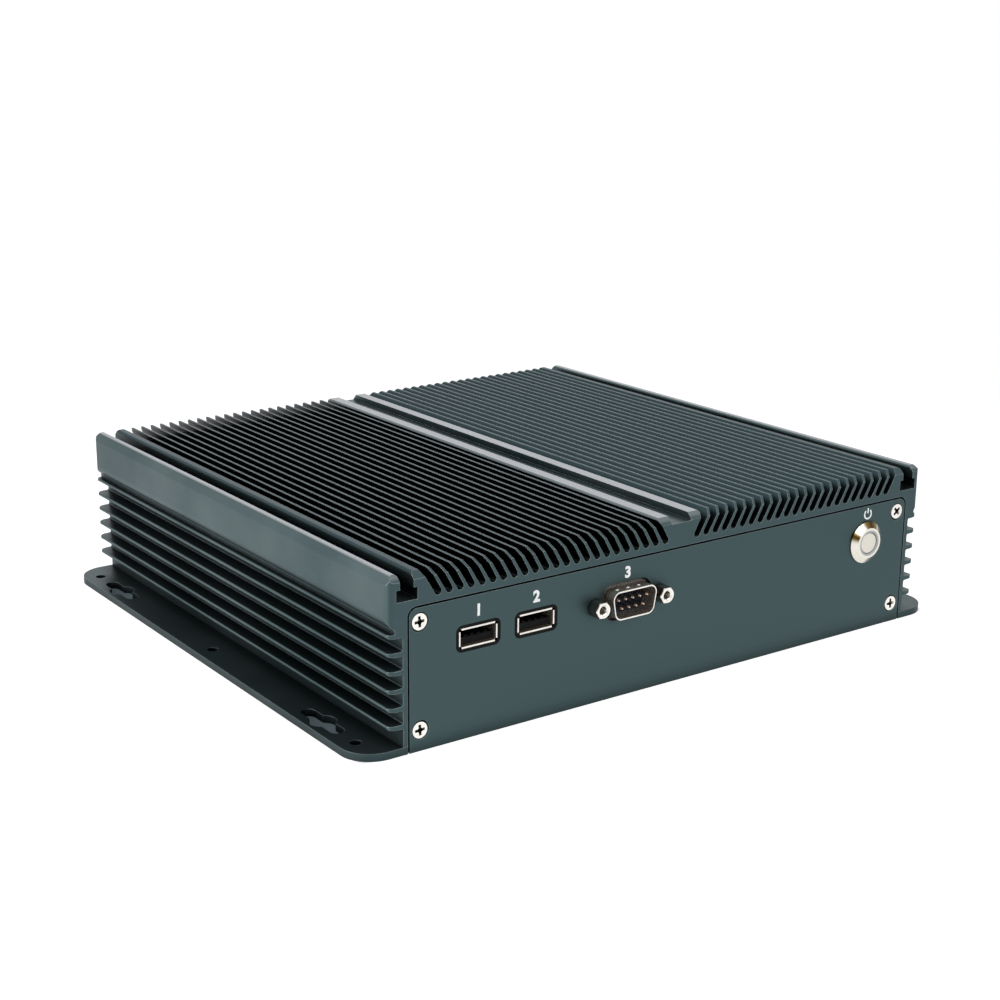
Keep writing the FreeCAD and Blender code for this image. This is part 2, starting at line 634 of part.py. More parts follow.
def button_notch(z0, z1):
    """Room for the power button's barrel at the board's front right corner."""
    x = BOARD_HALF_X
    return box(x - BOARD_NOTCH_WIDTH, x + SLACK, FRONT_Y, FRONT_Y + BOARD_NOTCH_DEPTH, z0, z1)


def serial_notch(z0, z1):
    """Room for the body of the serial port in the board's front edge."""
    half = SERIAL_FLANGE_WIDTH / 2 + SLACK
    depth = PANEL_THICKNESS + SERIAL_FLANGE_THICKNESS + SERIAL_BODY_DEPTH + BOARD_END_GAP
    return box(SERIAL_X - half, SERIAL_X + half, FRONT_Y, FRONT_Y + depth, z0, z1)


# ---- base plate
def keyhole(x, y):
    """A double keyhole: a round hole with a slot running out of it both ways."""
    reach = (KEYHOLE_LENGTH - KEYHOLE_SLOT) / 2
    low, height = -SLACK, BASE_THICKNESS + 2 * SLACK
    slot = box(x - KEYHOLE_SLOT / 2, x + KEYHOLE_SLOT / 2, y - reach, y + reach, low, low + height)
    ends = [rod(KEYHOLE_SLOT, V(x, y + end, low), height, ALONG_Z) for end in (-reach, reach)]
    return slot.fuse(ends + [rod(KEYHOLE_DIAMETER, V(x, y, low), height, ALONG_Z)])


def base_screw_depth():
    """How far a base screw reaches into its boss."""
    return PANEL_SCREW_LENGTH - BASE_THICKNESS


def base_plate():
    plate = round_cornered(BASE_WIDTH / 2, 0, BASE_THICKNESS, BASE_CORNER_RADIUS)
    cuts = [box(-CAVITY_HALF, CAVITY_HALF, FRONT_Y - SLACK, -INNER_Y, -SLACK, BASE_THICKNESS + SLACK),
            box(-CAVITY_HALF, CAVITY_HALF, INNER_Y, REAR_Y + SLACK, -SLACK, BASE_THICKNESS + SLACK)]
    for x in (-FLANGE_ROW_X, FLANGE_ROW_X):
        cuts += [keyhole(x, y) for y in (-KEYHOLE_Y, KEYHOLE_Y)]
        cuts += [rod(FLANGE_HOLE_DIAMETER, V(x, y, -SLACK), BASE_THICKNESS + 2 * SLACK, ALONG_Z)
                 for y in (-FLANGE_HOLE_Y, 0, FLANGE_HOLE_Y)]
    cuts += [countersink(point, ALONG_Z) for point in base_screw_points()]
    return plate.cut(cuts)


def base_plate_screws():
    return group([countersunk_screw(point, ALONG_Z) for point in base_screw_points()])


# ---- panels
def panel_blank():
    """An end panel drawn with its outer face at y = 0 and its middle at x = 0."""
    radii = (0.0, 0.0, PANEL_CORNER_RADIUS, PANEL_CORNER_RADIUS)
    outline = rectangle(PANEL_WIDTH, PANEL_HEIGHT, radii, 0.0, PANEL_HEIGHT / 2)
    blank = prism(outline, 0, PANEL_THICKNESS)
    return blank.cut([countersink(V(x, 0, z), ALONG_Y) for x, z in panel_screw_points()])


def window(outline, x, z):
    return moved(prism(outline, -SLACK, PANEL_THICKNESS + SLACK), x, 0, z)


def serial_windows(x, z):
    """The D-shaped cut-out and the two jackscrew holes of one serial port."""
    grow = 2 * SERIAL_WINDOW_GAP
    holes = [rod(JACKSCREW_STUD + 2 * SCREW_HOLE_CLEARANCE, V(x + side * JACKSCREW_SPACING / 2, -SLACK, z),
                 PANEL_THICKNESS + 2 * SLACK, ALONG_Y) for side in (-1, 1)]
    outline = d_shape(SERIAL_WIDTH + grow, SERIAL_HEIGHT + grow, SERIAL_RADIUS + SERIAL_WINDOW_GAP)
    return [window(outline, x, z)] + holes


def port_lip_size():
    spread = 2 * PORT_LIP_FLARE
    return PORT_OPENING_WIDTH + spread, PORT_OPENING_HEIGHT + spread


def front_panel():
    width, height = port_lip_size()
    outline = rectangle(width + 2 * PORT_WINDOW_GAP, height + 2 * PORT_WINDOW_GAP, PORT_WINDOW_RADIUS)
    cuts = [window(outline, x, PORT_AXIS_Z) for x in PORT_XS]
    cuts += serial_windows(SERIAL_X, PORT_AXIS_Z)
    cuts.append(rod(BUTTON_BARREL_DIAMETER + 2 * BUTTON_HOLE_GAP, V(BUTTON_X, -SLACK, PORT_AXIS_Z),
                    PANEL_THICKNESS + 2 * SLACK, ALONG_Y))
    return at_front(panel_blank().cut(cuts), 0, 0)


def rear_panel():
    """Drawn facing forwards like the front panel, then turned round, so x runs the other way."""
    cuts = []
    for x in REAR_SERIAL_X:
        cuts += serial_windows(-x, REAR_SERIAL_Z)
    gap = 2 * WINDOW_GAP
    for x in STACK_X:
        cuts.append(window(rectangle(STACK_WIDTH + gap, STACK_HEIGHT + gap), -x, STACK_Z))
    for x in NETWORK_X:
        cuts.append(window(rectangle(NETWORK_WIDTH + gap, NETWORK_HEIGHT + gap), -x, NETWORK_Z))
    cuts.append(window(video_outline(VIDEO_SHEET + WINDOW_GAP), -VIDEO_X, VIDEO_Z))
    depth = PANEL_THICKNESS + 2 * SLACK
    cuts.append(rod(POWER_COLLAR_DIAMETER + gap, V(-POWER_X, -SLACK, POWER_Z), depth, ALONG_Y))
    for x in AUDIO_X:
        cuts.append(rod(AUDIO_COLLAR_DIAMETER + gap, V(-x, -SLACK, AUDIO_Z), depth, ALONG_Y))
    return at_rear(panel_blank().cut(cuts), 0, 0)


def front_panel_screws():
    return group([countersunk_screw(V(x, FRONT_Y, z), ALONG_Y) for x, z in panel_screw_points()])


def rear_panel_screws():
    return group([countersunk_screw(V(x, REAR_Y, z), -ALONG_Y) for x, z in panel_screw_points()])


# ---- type A data port
def data_port_lips():
    """The shell's flared mouth: a flaring frame, cut away at its corners into four lips."""
    width, height = port_lip_size()
    inner_w, inner_h = PORT_OPENING_WIDTH, PORT_OPENING_HEIGHT
    front = rectangle(width, height).OuterWire
    front.translate(V(0, PORT_LIP_SINK, 0))
    back = rectangle(inner_w + 2 * PORT_SHEET, inner_h + 2 * PORT_SHEET).OuterWire
    back.translate(V(0, PORT_LIP_SINK + PORT_LIP_DEPTH, 0))
    flare = Part.makeLoft([front, back], True, True)
    cuts = [block(inner_w, inner_h, -SLACK, PORT_SHELL_DEPTH)]
    clip = PORT_LIP_FLARE + SLACK
    for side_x in (-1, 1):
        for side_z in (-1, 1):
            x = side_x * ((inner_w + clip) / 2 - PORT_LIP_NOTCH)
            z = side_z * ((inner_h + clip) / 2 - PORT_LIP_NOTCH)
            cuts.append(block(clip, clip, -SLACK, PORT_LIP_SINK + PORT_LIP_DEPTH, x, z))
    return flare.cut(cuts)


def data_port_shell():
    outer = block(PORT_OPENING_WIDTH + 2 * PORT_SHEET, PORT_OPENING_HEIGHT + 2 * PORT_SHEET,
                  PORT_LIP_SINK + PORT_LIP_DEPTH, PORT_SHELL_DEPTH)
    tube = outer.cut(block(PORT_OPENING_WIDTH, PORT_OPENING_HEIGHT, 0, PORT_SHELL_DEPTH + SLACK))
    return tube.fuse(data_port_lips()).removeSplitter()


def port_tongue(back):
    return block(PORT_TONGUE_WIDTH, PORT_TONGUE_THICKNESS, PORT_TONGUE_SETBACK, back, 0, -PORT_TONGUE_DROP)


def port_plug(back, depth):
    """The insert's solid part that fills the back of one opening."""
    gap = 2 * INSERT_CLEARANCE
    return block(PORT_OPENING_WIDTH - gap, PORT_OPENING_HEIGHT - gap, back - depth, back)


def data_port_insert():
    back = PORT_SHELL_DEPTH
    half = PORT_OPENING_HEIGHT / 2
    foot = box(-PORT_OPENING_WIDTH / 2, PORT_OPENING_WIDTH / 2, back, back + PORT_FOOT_DEPTH, -half, PORT_TO_BOARD)
    return port_plug(back, PORT_INSERT_DEPTH).fuse([port_tongue(back), foot]).removeSplitter()


def port_contacts():
    """Four contacts on the tongue's upper face."""
    top = PORT_TONGUE_THICKNESS / 2 - PORT_TONGUE_DROP
    z = top + PORT_CONTACT_HEIGHT / 2
    start, end = PORT_TONGUE_SETBACK + 0.5, PORT_SHELL_DEPTH - PORT_INSERT_DEPTH
    return [block(PORT_CONTACT_WIDTH, PORT_CONTACT_HEIGHT, start, end, (index - 1.5) * PORT_CONTACT_PITCH, z)
            for index in range(4)]


def data_port_shells():
    return group([at_front(data_port_shell(), x, PORT_AXIS_Z) for x in PORT_XS])


def data_port_inserts():
    return group([at_front(data_port_insert(), x, PORT_AXIS_Z) for x in PORT_XS])


def data_port_contacts():
    return group([at_front(contact, x, PORT_AXIS_Z) for x in PORT_XS for contact in port_contacts()])


# ---- serial port
def serial_shell():
    """One drawn sheet: the D-shaped tube, the flare at its root and the flange behind the panel."""
    flange_front = PANEL_THICKNESS
    tube = prism(d_shape(SERIAL_WIDTH, SERIAL_HEIGHT, SERIAL_RADIUS), -SERIAL_REACH, flange_front)
    narrow = d_shape(SERIAL_WIDTH, SERIAL_HEIGHT, SERIAL_RADIUS).OuterWire
    narrow.translate(V(0, flange_front - SERIAL_ROOT_DEPTH, 0))
    grow = 2 * SERIAL_ROOT_FLARE
    wide = d_shape(SERIAL_WIDTH + grow, SERIAL_HEIGHT + grow, SERIAL_RADIUS + SERIAL_ROOT_FLARE).OuterWire
    wide.translate(V(0, flange_front, 0))
    root = Part.makeLoft([narrow, wide], True, True)
    flange = prism(rectangle(SERIAL_FLANGE_WIDTH, SERIAL_FLANGE_HEIGHT, 1.0), flange_front,
                   flange_front + SERIAL_FLANGE_THICKNESS)
    shrink = 2 * SERIAL_SHEET
    hollow = prism(d_shape(SERIAL_WIDTH - shrink, SERIAL_HEIGHT - shrink, SERIAL_RADIUS - SERIAL_SHEET),
                   -SERIAL_REACH - SLACK, flange_front + SERIAL_FLANGE_THICKNESS + SLACK)
    holes = [rod(JACKSCREW_STUD + 2 * SCREW_CLEARANCE, V(side * JACKSCREW_SPACING / 2, flange_front - SLACK, 0),
                 SERIAL_FLANGE_THICKNESS + 2 * SLACK, ALONG_Y) for side in (-1, 1)]
    return tube.fuse([root, flange]).cut([hollow] + holes).removeSplitter()


def serial_insert():
    shrink = 2 * (SERIAL_SHEET + INSERT_CLEARANCE)
    back = PANEL_THICKNESS + SERIAL_FLANGE_THICKNESS
    nose = prism(d_shape(SERIAL_WIDTH - shrink, SERIAL_HEIGHT - shrink, SERIAL_RADIUS - shrink / 2),
                 SERIAL_DEPTH_TO_INSERT - SERIAL_REACH, back)
    body = prism(rectangle(SERIAL_BODY_WIDTH, SERIAL_BODY_HEIGHT), back, back + SERIAL_BODY_DEPTH)
    return nose.fuse(body).removeSplitter()


def serial_pins():
    """Five pins above four, each with a tapered tip."""
    radius = SERIAL_PIN_DIAMETER / 2
    root = SERIAL_DEPTH_TO_INSERT - SERIAL_REACH
    tip = root - SERIAL_PIN_LENGTH
    profile = [(0, tip), (radius * 0.5, tip), (radius, tip + radius), (radius, root), (0, root)]
    places = [((index - 2) * SERIAL_PIN_PITCH, SERIAL_ROW_PITCH / 2) for index in range(5)]
    places += [((index - 1.5) * SERIAL_PIN_PITCH, -SERIAL_ROW_PITCH / 2) for index in range(4)]
    return [turned(profile, V(x, 0, z), ALONG_Y) for x, z in places]


def jackscrews():
    """Hexagonal posts with a threaded bore, each with a stud that clamps the shell's flange."""
    screws = []
    for side in (-1, 1):
        post = prism(hexagon(JACKSCREW_ACROSS_FLATS), -JACKSCREW_REACH, 0)
        stud = rod(JACKSCREW_STUD, V(0, 0, 0), JACKSCREW_STUD_LENGTH, ALONG_Y)
        bore = rod(JACKSCREW_BORE, V(0, -JACKSCREW_REACH, 0), JACKSCREW_BORE_DEPTH, ALONG_Y)
        screws.append(moved(post.fuse(stud).cut(bore), side * JACKSCREW_SPACING / 2, 0, 0))
    return screws


def rear_serial(solids):
    return group([at_rear(solid, x, REAR_SERIAL_Z) for x in REAR_SERIAL_X for solid in solids])


# ---- power button, drawn with the panel's face at y = 0
def button_cap_face():
    return -BUTTON_BEZEL_REACH + BUTTON_CAP_CROWN


def button_flange_front():
    """Front of the cap's flange: it stops behind the light ring."""
    return -BUTTON_BEZEL_REACH + BUTTON_RING_LENGTH + BUTTON_REST_GAP


def button_stem_end():
    return button_flange_front() + BUTTON_FLANGE_THICKNESS + BUTTON_TRAVEL + 2.0


def button_switch_front():
    """The switch block starts behind the flange's pressed place."""
    return button_flange_front() + BUTTON_FLANGE_THICKNESS + BUTTON_TRAVEL + BUTTON_END_GAP


def power_button_bezel():
    """Turned metal: a bevelled head in front of the panel and a threaded barrel behind it."""
    outer, crown, barrel = BUTTON_BEZEL_DIAMETER / 2, BUTTON_CROWN_DIAMETER / 2, BUTTON_BARREL_DIAMETER / 2
    ring, bore = BUTTON_RING_DIAMETER / 2, BUTTON_BARREL_DIAMETER / 2 - BUTTON_WALL
    ring_end = -BUTTON_BEZEL_REACH + BUTTON_RING_LENGTH
    profile = [(outer, 0), (outer, -BUTTON_BEZEL_EDGE), (crown, -BUTTON_BEZEL_REACH), (ring, -BUTTON_BEZEL_REACH),
               (ring, ring_end), (bore, ring_end), (bore, BUTTON_BARREL_LENGTH), (barrel, BUTTON_BARREL_LENGTH),
               (barrel, 0)]
    return at_front(turned(profile, V(0, 0, 0), ALONG_Y), BUTTON_X, PORT_AXIS_Z)


def power_button_light_ring():
    outer, inner = BUTTON_RING_DIAMETER / 2, BUTTON_CAP_DIAMETER / 2 + BUTTON_RUNNING_GAP
    start = -BUTTON_BEZEL_REACH + 0.1
    end = -BUTTON_BEZEL_REACH + BUTTON_RING_LENGTH
    profile = [(inner, start), (outer, start), (outer, end), (inner, end)]
    return at_front(turned(profile, V(0, 0, 0), ALONG_Y), BUTTON_X, PORT_AXIS_Z)


def power_button_cap():
    """The part that moves: a cap, a flange that keeps it in and a stem that works the switch."""
    cap, flange, stem = BUTTON_CAP_DIAMETER / 2, BUTTON_FLANGE_DIAMETER / 2, BUTTON_STEM_DIAMETER / 2
    front, step = button_cap_face(), button_flange_front()
    back = step + BUTTON_FLANGE_THICKNESS
    bevel = BUTTON_CAP_BEVEL
    profile = [(0, front), (cap - bevel, front), (cap, front + bevel), (cap, step), (flange, step), (flange, back),
               (stem, back), (stem, button_stem_end()), (0, button_stem_end())]
    return at_front(turned(profile, V(0, 0, 0), ALONG_Y), BUTTON_X, PORT_AXIS_Z)


def power_button_switch():
    """The switch block closes the barrel; the stem runs in its hole, and two terminals stand out behind."""
    radius = BUTTON_BARREL_DIAMETER / 2 - BUTTON_WALL - INSERT_CLEARANCE
    hole = BUTTON_STEM_DIAMETER / 2 + SCREW_HOLE_CLEARANCE
    front = button_switch_front()
    bottom = button_stem_end() + BUTTON_TRAVEL + BUTTON_END_GAP
    back = BUTTON_BARREL_LENGTH + 1.5
    profile = [(hole, front), (radius, front), (radius, back), (0, back), (0, bottom), (hole, bottom)]
    body = turned(profile, V(0, 0, 0), ALONG_Y)
    pins = [block(BUTTON_TERMINAL, 0.5, back, back + BUTTON_TERMINAL_LENGTH, side * BUTTON_TERMINAL, 0)
            for side in (-1, 1)]
    return at_front(body.fuse(pins), BUTTON_X, PORT_AXIS_Z)


def power_button_nut():
    nut = prism(hexagon(BUTTON_NUT_ACROSS_FLATS), PANEL_THICKNESS, PANEL_THICKNESS + BUTTON_NUT_THICKNESS)
    bore = rod(BUTTON_BARREL_DIAMETER + 2 * SCREW_CLEARANCE, V(0, 0, 0), BUTTON_BARREL_LENGTH, ALONG_Y)
    return at_front(nut.cut(bore), BUTTON_X, PORT_AXIS_Z)


# ---- rear connectors
def stack_offsets():
    return (-STACK_PORT_PITCH / 2, STACK_PORT_PITCH / 2)


def stack_shell():
    """Two data ports one above the other in one metal shell."""
    outer = block(STACK_WIDTH, STACK_HEIGHT, -REAR_PROUD, STACK_DEPTH)
    return outer.cut([block(PORT_OPENING_WIDTH, PORT_OPENING_HEIGHT, -SLACK, STACK_DEPTH - PORT_SHEET, 0, z)
                      for z in stack_offsets()])


def stack_inserts():
    back = STACK_DEPTH - PORT_SHEET
    depth = back - PORT_SHELL_DEPTH + PORT_INSERT_DEPTH
    inserts = [port_plug(back, depth).fuse(port_tongue(back)).removeSplitter() for _ in stack_offsets()]
    return [moved(insert, 0, 0, z) for insert, z in zip(inserts, stack_offsets())]


def rear_data_port_shells():
    return group([at_rear(stack_shell(), x, STACK_Z) for x in STACK_X])


def rear_data_port_inserts():
    return group([at_rear(insert, x, STACK_Z) for x in STACK_X for insert in stack_inserts()])


def rear_data_port_contacts():
    contacts = [moved(contact, 0, 0, z) for z in stack_offsets() for contact in port_contacts()]
    return group([at_rear(contact, x, STACK_Z) for x in STACK_X for contact in contacts])


def network_shell():
    sheet = 2 * NETWORK_SHEET
    outer = block(NETWORK_WIDTH, NETWORK_HEIGHT, -REAR_PROUD, NETWORK_DEPTH)
    depth = NETWORK_DEPTH - NETWORK_SHEET
    return outer.cut(block(NETWORK_WIDTH - sheet, NETWORK_HEIGHT - sheet, -SLACK, depth))


def network_insert():
    """The plastic socket: a cavity for the plug with a step for its latch below."""
    gap = 2 * (NETWORK_SHEET + INSERT_CLEARANCE)
    depth = NETWORK_DEPTH - NETWORK_SHEET - INSERT_CLEARANCE
    body = block(NETWORK_WIDTH - gap, NETWORK_HEIGHT - gap, 0, depth)
    cavity = block(NETWORK_CAVITY_WIDTH, NETWORK_CAVITY_HEIGHT, -SLACK, NETWORK_CAVITY_DEPTH, 0, 0.6)
    latch_z = 0.6 - (NETWORK_CAVITY_HEIGHT + NETWORK_LATCH_HEIGHT) / 2
    latch = block(NETWORK_LATCH_WIDTH, NETWORK_LATCH_HEIGHT, -SLACK, NETWORK_CAVITY_DEPTH, 0, latch_z)
    return body.cut([cavity, latch])


def network_contacts():
    """Eight contacts lying along the top of the cavity."""
    top = 0.6 + NETWORK_CAVITY_HEIGHT / 2
    thick = NETWORK_CONTACT_WIDTH
    return [block(NETWORK_CONTACT_WIDTH, thick, 2.0, NETWORK_CAVITY_DEPTH,
                  (index - (NETWORK_CONTACTS - 1) / 2) * NETWORK_CONTACT_PITCH, top - thick / 2)
            for index in range(NETWORK_CONTACTS)]


def network_port_shells():
    return group([at_rear(network_shell(), x, NETWORK_Z) for x in NETWORK_X])


def network_port_inserts():
    return group([at_rear(network_insert(), x, NETWORK_Z) for x in NETWORK_X])


def network_port_contacts():
    return group([at_rear(contact, x, NETWORK_Z) for x in NETWORK_X for contact in network_contacts()])


def video_outline(grow):
    """The video port's opening: a rectangle with its two lower corners cut off."""
    half, top = VIDEO_WIDTH / 2 + grow, VIDEO_HEIGHT / 2 + grow
    cut = VIDEO_HEIGHT * 0.45
    return face((-half + cut, -top), (half - cut, -top), (half, -top + cut), (half, top), (-half, top),
                (-half, -top + cut))


def video_port_shell():
    outer = prism(video_outline(VIDEO_SHEET), -REAR_PROUD, VIDEO_DEPTH)
    inner = prism(video_outline(0), -SLACK, VIDEO_DEPTH - VIDEO_SHEET)
    return at_rear(outer.cut(inner), VIDEO_X, VIDEO_Z)


def video_port_insert():
    back = VIDEO_DEPTH - VIDEO_SHEET
    plug = prism(video_outline(-INSERT_CLEARANCE), back - 2.5, back)
    tongue = block(VIDEO_TONGUE_WIDTH, VIDEO_TONGUE_THICKNESS, 1.0, back, 0, 0.4)
    return at_rear(plug.fuse(tongue).removeSplitter(), VIDEO_X, VIDEO_Z)


def power_inlet():
    """The power socket: a plastic body with a round collar through the panel."""
    body = block(POWER_WIDTH, POWER_HEIGHT, PANEL_THICKNESS, POWER_DEPTH)
    collar = rod(POWER_COLLAR_DIAMETER, V(0, -REAR_PROUD, 0), PANEL_THICKNESS + REAR_PROUD + SLACK, ALONG_Y)
    bore = rod(POWER_BORE_DIAMETER, V(0, -SLACK, 0), POWER_BORE_DEPTH + SLACK, ALONG_Y)
    return at_rear(body.fuse(collar).cut(bore), POWER_X, POWER_Z)


def power_inlet_pin():
    pin = rod(POWER_PIN_DIAMETER, V(0, 1.0, 0), POWER_BORE_DEPTH - 1.0, ALONG_Y)
    return at_rear(pin, POWER_X, POWER_Z)


def audio_socket():
    body = block(AUDIO_WIDTH, AUDIO_HEIGHT, PANEL_THICKNESS, AUDIO_DEPTH)
    collar = rod(AUDIO_COLLAR_DIAMETER, V(0, -REAR_PROUD, 0), PANEL_THICKNESS + REAR_PROUD + SLACK, ALONG_Y)
    bore = rod(AUDIO_BORE_DIAMETER, V(0, -SLACK, 0), AUDIO_BORE_DEPTH + SLACK, ALONG_Y)
    return body.fuse(collar).cut(bore)


def audio_sockets():
    return group([at_rear(audio_socket(), x, AUDIO_Z) for x in AUDIO_X])


# ---- main board and what it carries
def main_board():
    board = box(-BOARD_HALF_X, BOARD_HALF_X, -BOARD_HALF_Y, BOARD_HALF_Y, BOARD_Z, BOARD_TOP)
    hole = BOARD_SCREW_SHANK + 2 * SCREW_HOLE_CLEARANCE
    low, high = BOARD_Z - SLACK, BOARD_TOP + SLACK
    notches = [button_notch(low, high), serial_notch(low, high)]
    return board.cut(notches + [rod(hole, V(x, y, BOARD_Z - SLACK), BOARD_THICKNESS + 2 * SLACK, ALONG_Z)
                      for x, y in board_screw_points()])


def board_screws():
    return group([pan_screw(V(x, y, BOARD_Z), ALONG_Z, BOARD_SCREW_LENGTH) for x, y in board_screw_points()])


def on_board(width, depth, height, x, y, base=BOARD_TOP):
    return box(x - width / 2, x + width / 2, y - depth / 2, y + depth / 2, base, base + height)


def under_board(width, depth, height, x, y):
    return on_board(width, depth, height, x, y, BOARD_Z - height)


def processor():
    lid = on_board(LID_SIZE, LID_SIZE, LID_THICKNESS, 0, PROCESSOR_Y, BOARD_TOP + PROCESSOR_THICKNESS)
    return on_board(PROCESSOR_SIZE, PROCESSOR_SIZE, PROCESSOR_THICKNESS, 0, PROCESSOR_Y).fuse(lid)


def processor_top():
    return BOARD_TOP + PROCESSOR_THICKNESS + LID_THICKNESS


def spreader_base():
    return processor_top() + THERMAL_PAD_THICKNESS


def spreader_top():
    return CEILING_Z - CEILING_PAD_THICKNESS


def spreader_screw_grip():
    """How far a spreader screw reaches into the ceiling pad."""
    return CEILING_PAD_THICKNESS + TOP_WEB / 2 - SLACK


def thermal_pad():
    return on_board(LID_SIZE, LID_SIZE, THERMAL_PAD_THICKNESS, 0, PROCESSOR_Y, processor_top())


def heat_spreader():
    height = spreader_top() - spreader_base()
    plate = on_board(SPREADER_SIZE, SPREADER_SIZE, height, 0, PROCESSOR_Y, spreader_base())
    hole = BOARD_SCREW_SHANK + 2 * SCREW_HOLE_CLEARANCE
    return plate.cut([rod(hole, V(x, y, spreader_base() - SLACK), height + 2 * SLACK, ALONG_Z)
                      for x, y in spreader_screw_points()])


def heat_spreader_screws():
    length = spreader_top() - spreader_base() + spreader_screw_grip()
    return group([pan_screw(V(x, y, spreader_base()), ALONG_Z, length) for x, y in spreader_screw_points()])


def memory_module_z():
    return BOARD_Z - MEMORY_SOCKET_HEIGHT + 1.0


def memory_socket():
    """The socket grips the module's front edge, and two arms run back along its sides."""
    arm = MEMORY_ARM_WIDTH
    front = MEMORY_Y - MEMORY_SOCKET_DEPTH / 2
    back = front + MEMORY_SOCKET_DEPTH - MEMORY_GRIP + MEMORY_MODULE_DEPTH
    half = MEMORY_SOCKET_WIDTH / 2
    low = BOARD_Z - MEMORY_SOCKET_HEIGHT
    bar = box(MEMORY_X - half, MEMORY_X + half, front, front + MEMORY_SOCKET_DEPTH, low, BOARD_Z)
    arms = [box(MEMORY_X - half, MEMORY_X - half + arm, front, back, low, BOARD_Z),
            box(MEMORY_X + half - arm, MEMORY_X + half, front, back, low, BOARD_Z)]
    z = memory_module_z()
    slot = box(MEMORY_X - MEMORY_MODULE_WIDTH / 2, MEMORY_X + MEMORY_MODULE_WIDTH / 2,
               front + MEMORY_SOCKET_DEPTH - MEMORY_GRIP, front + MEMORY_SOCKET_DEPTH + SLACK,
               z, z + MEMORY_MODULE_THICKNESS)
    return bar.fuse(arms).cut(slot).removeSplitter()


def memory_module():
    front = MEMORY_Y + MEMORY_SOCKET_DEPTH / 2 - MEMORY_GRIP
    half = MEMORY_MODULE_WIDTH / 2
    z = memory_module_z()
    back = front + MEMORY_MODULE_DEPTH
    return box(MEMORY_X - half, MEMORY_X + half, front, back, z, z + MEMORY_MODULE_THICKNESS)


def storage_card_z():
    return BOARD_Z - STORAGE_DROP - STORAGE_CARD_THICKNESS


def storage_socket():
    back = STORAGE_POST_Y - STORAGE_CARD_LENGTH + STORAGE_GRIP
    middle = back - STORAGE_SOCKET_DEPTH / 2
    socket = under_board(STORAGE_CARD_WIDTH, STORAGE_SOCKET_DEPTH, STORAGE_SOCKET_HEIGHT, STORAGE_X, middle)
    slot = box(STORAGE_X - STORAGE_CARD_WIDTH, STORAGE_X + STORAGE_CARD_WIDTH, back - STORAGE_GRIP, back + SLACK,
               storage_card_z(), storage_card_z() + STORAGE_CARD_THICKNESS)
    return socket.cut(slot)


def storage_card():
    """The card: its free end has a half-round notch for the screw."""
    half = STORAGE_CARD_WIDTH / 2
    card = box(STORAGE_X - half, STORAGE_X + half, STORAGE_POST_Y - STORAGE_CARD_LENGTH, STORAGE_POST_Y,
               storage_card_z(), storage_card_z() + STORAGE_CARD_THICKNESS)
    hole = BOARD_SCREW_SHANK + 2 * SCREW_HOLE_CLEARANCE
    return card.cut(rod(hole, V(STORAGE_X, STORAGE_POST_Y, 0), HEIGHT, ALONG_Z))


def storage_post():
    """The threaded post that holds the card's free end."""
    foot = V(STORAGE_X, STORAGE_POST_Y, BOARD_Z - STORAGE_DROP)
    post = rod(STORAGE_POST_DIAMETER, foot, STORAGE_DROP, ALONG_Z)
    start = V(STORAGE_X, STORAGE_POST_Y, BOARD_Z - STORAGE_DROP - SLACK)
    return post.cut(rod(BOARD_SCREW_SHANK + 2 * SCREW_CLEARANCE, start, STORAGE_DROP + 2 * SLACK, ALONG_Z))


def storage_screw():
    length = STORAGE_CARD_THICKNESS + STORAGE_DROP
    return pan_screw(V(STORAGE_X, STORAGE_POST_Y, storage_card_z()), ALONG_Z, length)


def coin_cell_holder():
    height = CELL_THICKNESS + CELL_HOLDER_FLOOR
    outer = rod(CELL_DIAMETER + 2 * CELL_HOLDER_RIM, V(CELL_X, CELL_Y, BOARD_Z - height), height, ALONG_Z)
    pocket = rod(CELL_DIAMETER + 2 * INSERT_CLEARANCE, V(CELL_X, CELL_Y, BOARD_Z - height - SLACK),
                 CELL_THICKNESS + SLACK, ALONG_Z)
    return outer.cut(pocket)


def coin_cell():
    height = CELL_THICKNESS + CELL_HOLDER_FLOOR
    return rod(CELL_DIAMETER, V(CELL_X, CELL_Y, BOARD_Z - height), CELL_THICKNESS, ALONG_Z)


def board_chips():
    return group([on_board(size, size, CHIP_THICKNESS, x, y) for x, y, size in CHIP_PLACES])


def board_capacitors():
    return group([rod(CAPACITOR_DIAMETER, V(CAPACITOR_X, CAPACITOR_Y + index * CAPACITOR_PITCH, BOARD_TOP),
                      CAPACITOR_HEIGHT, ALONG_Z) for index in range(CAPACITOR_COUNT)])


def header_y():
    return FRONT_Y + HEADER_SETBACK


def board_headers():
    return group([under_board(SERIAL_HEADER_WIDTH, HEADER_DEPTH, HEADER_HEIGHT, SERIAL_X, header_y()),
                  under_board(BUTTON_HEADER_WIDTH, HEADER_DEPTH, HEADER_HEIGHT, BUTTON_X, header_y())])


def lead(width, x, start_y, start_z):
    """A flat lead that leaves a part backwards and bends up into its header."""
    end_y, end_z = header_y(), BOARD_Z - HEADER_HEIGHT
    half = LEAD_THICKNESS / 2
    bend = LEAD_BEND
    middle = bend * math.sqrt(0.5)
    centre = V(0, end_y - bend, start_z + bend)
    path = Part.Wire([
        Part.LineSegment(V(0, start_y, start_z), V(0, centre.y, start_z)).toShape(),
        Part.Arc(V(0, centre.y, start_z), V(0, centre.y + middle, centre.z - middle), V(0, end_y, centre.z)).toShape(),
        Part.LineSegment(V(0, end_y, centre.z), V(0, end_y, end_z)).toShape()])
    outline = Part.makePolygon([V(-width / 2, start_y, start_z - half), V(width / 2, start_y, start_z - half),
                                V(width / 2, start_y, start_z + half), V(-width / 2, start_y, start_z + half),
                                V(-width / 2, start_y, start_z - half)])
    return moved(path.makePipeShell([outline], True, False), x, 0, 0)


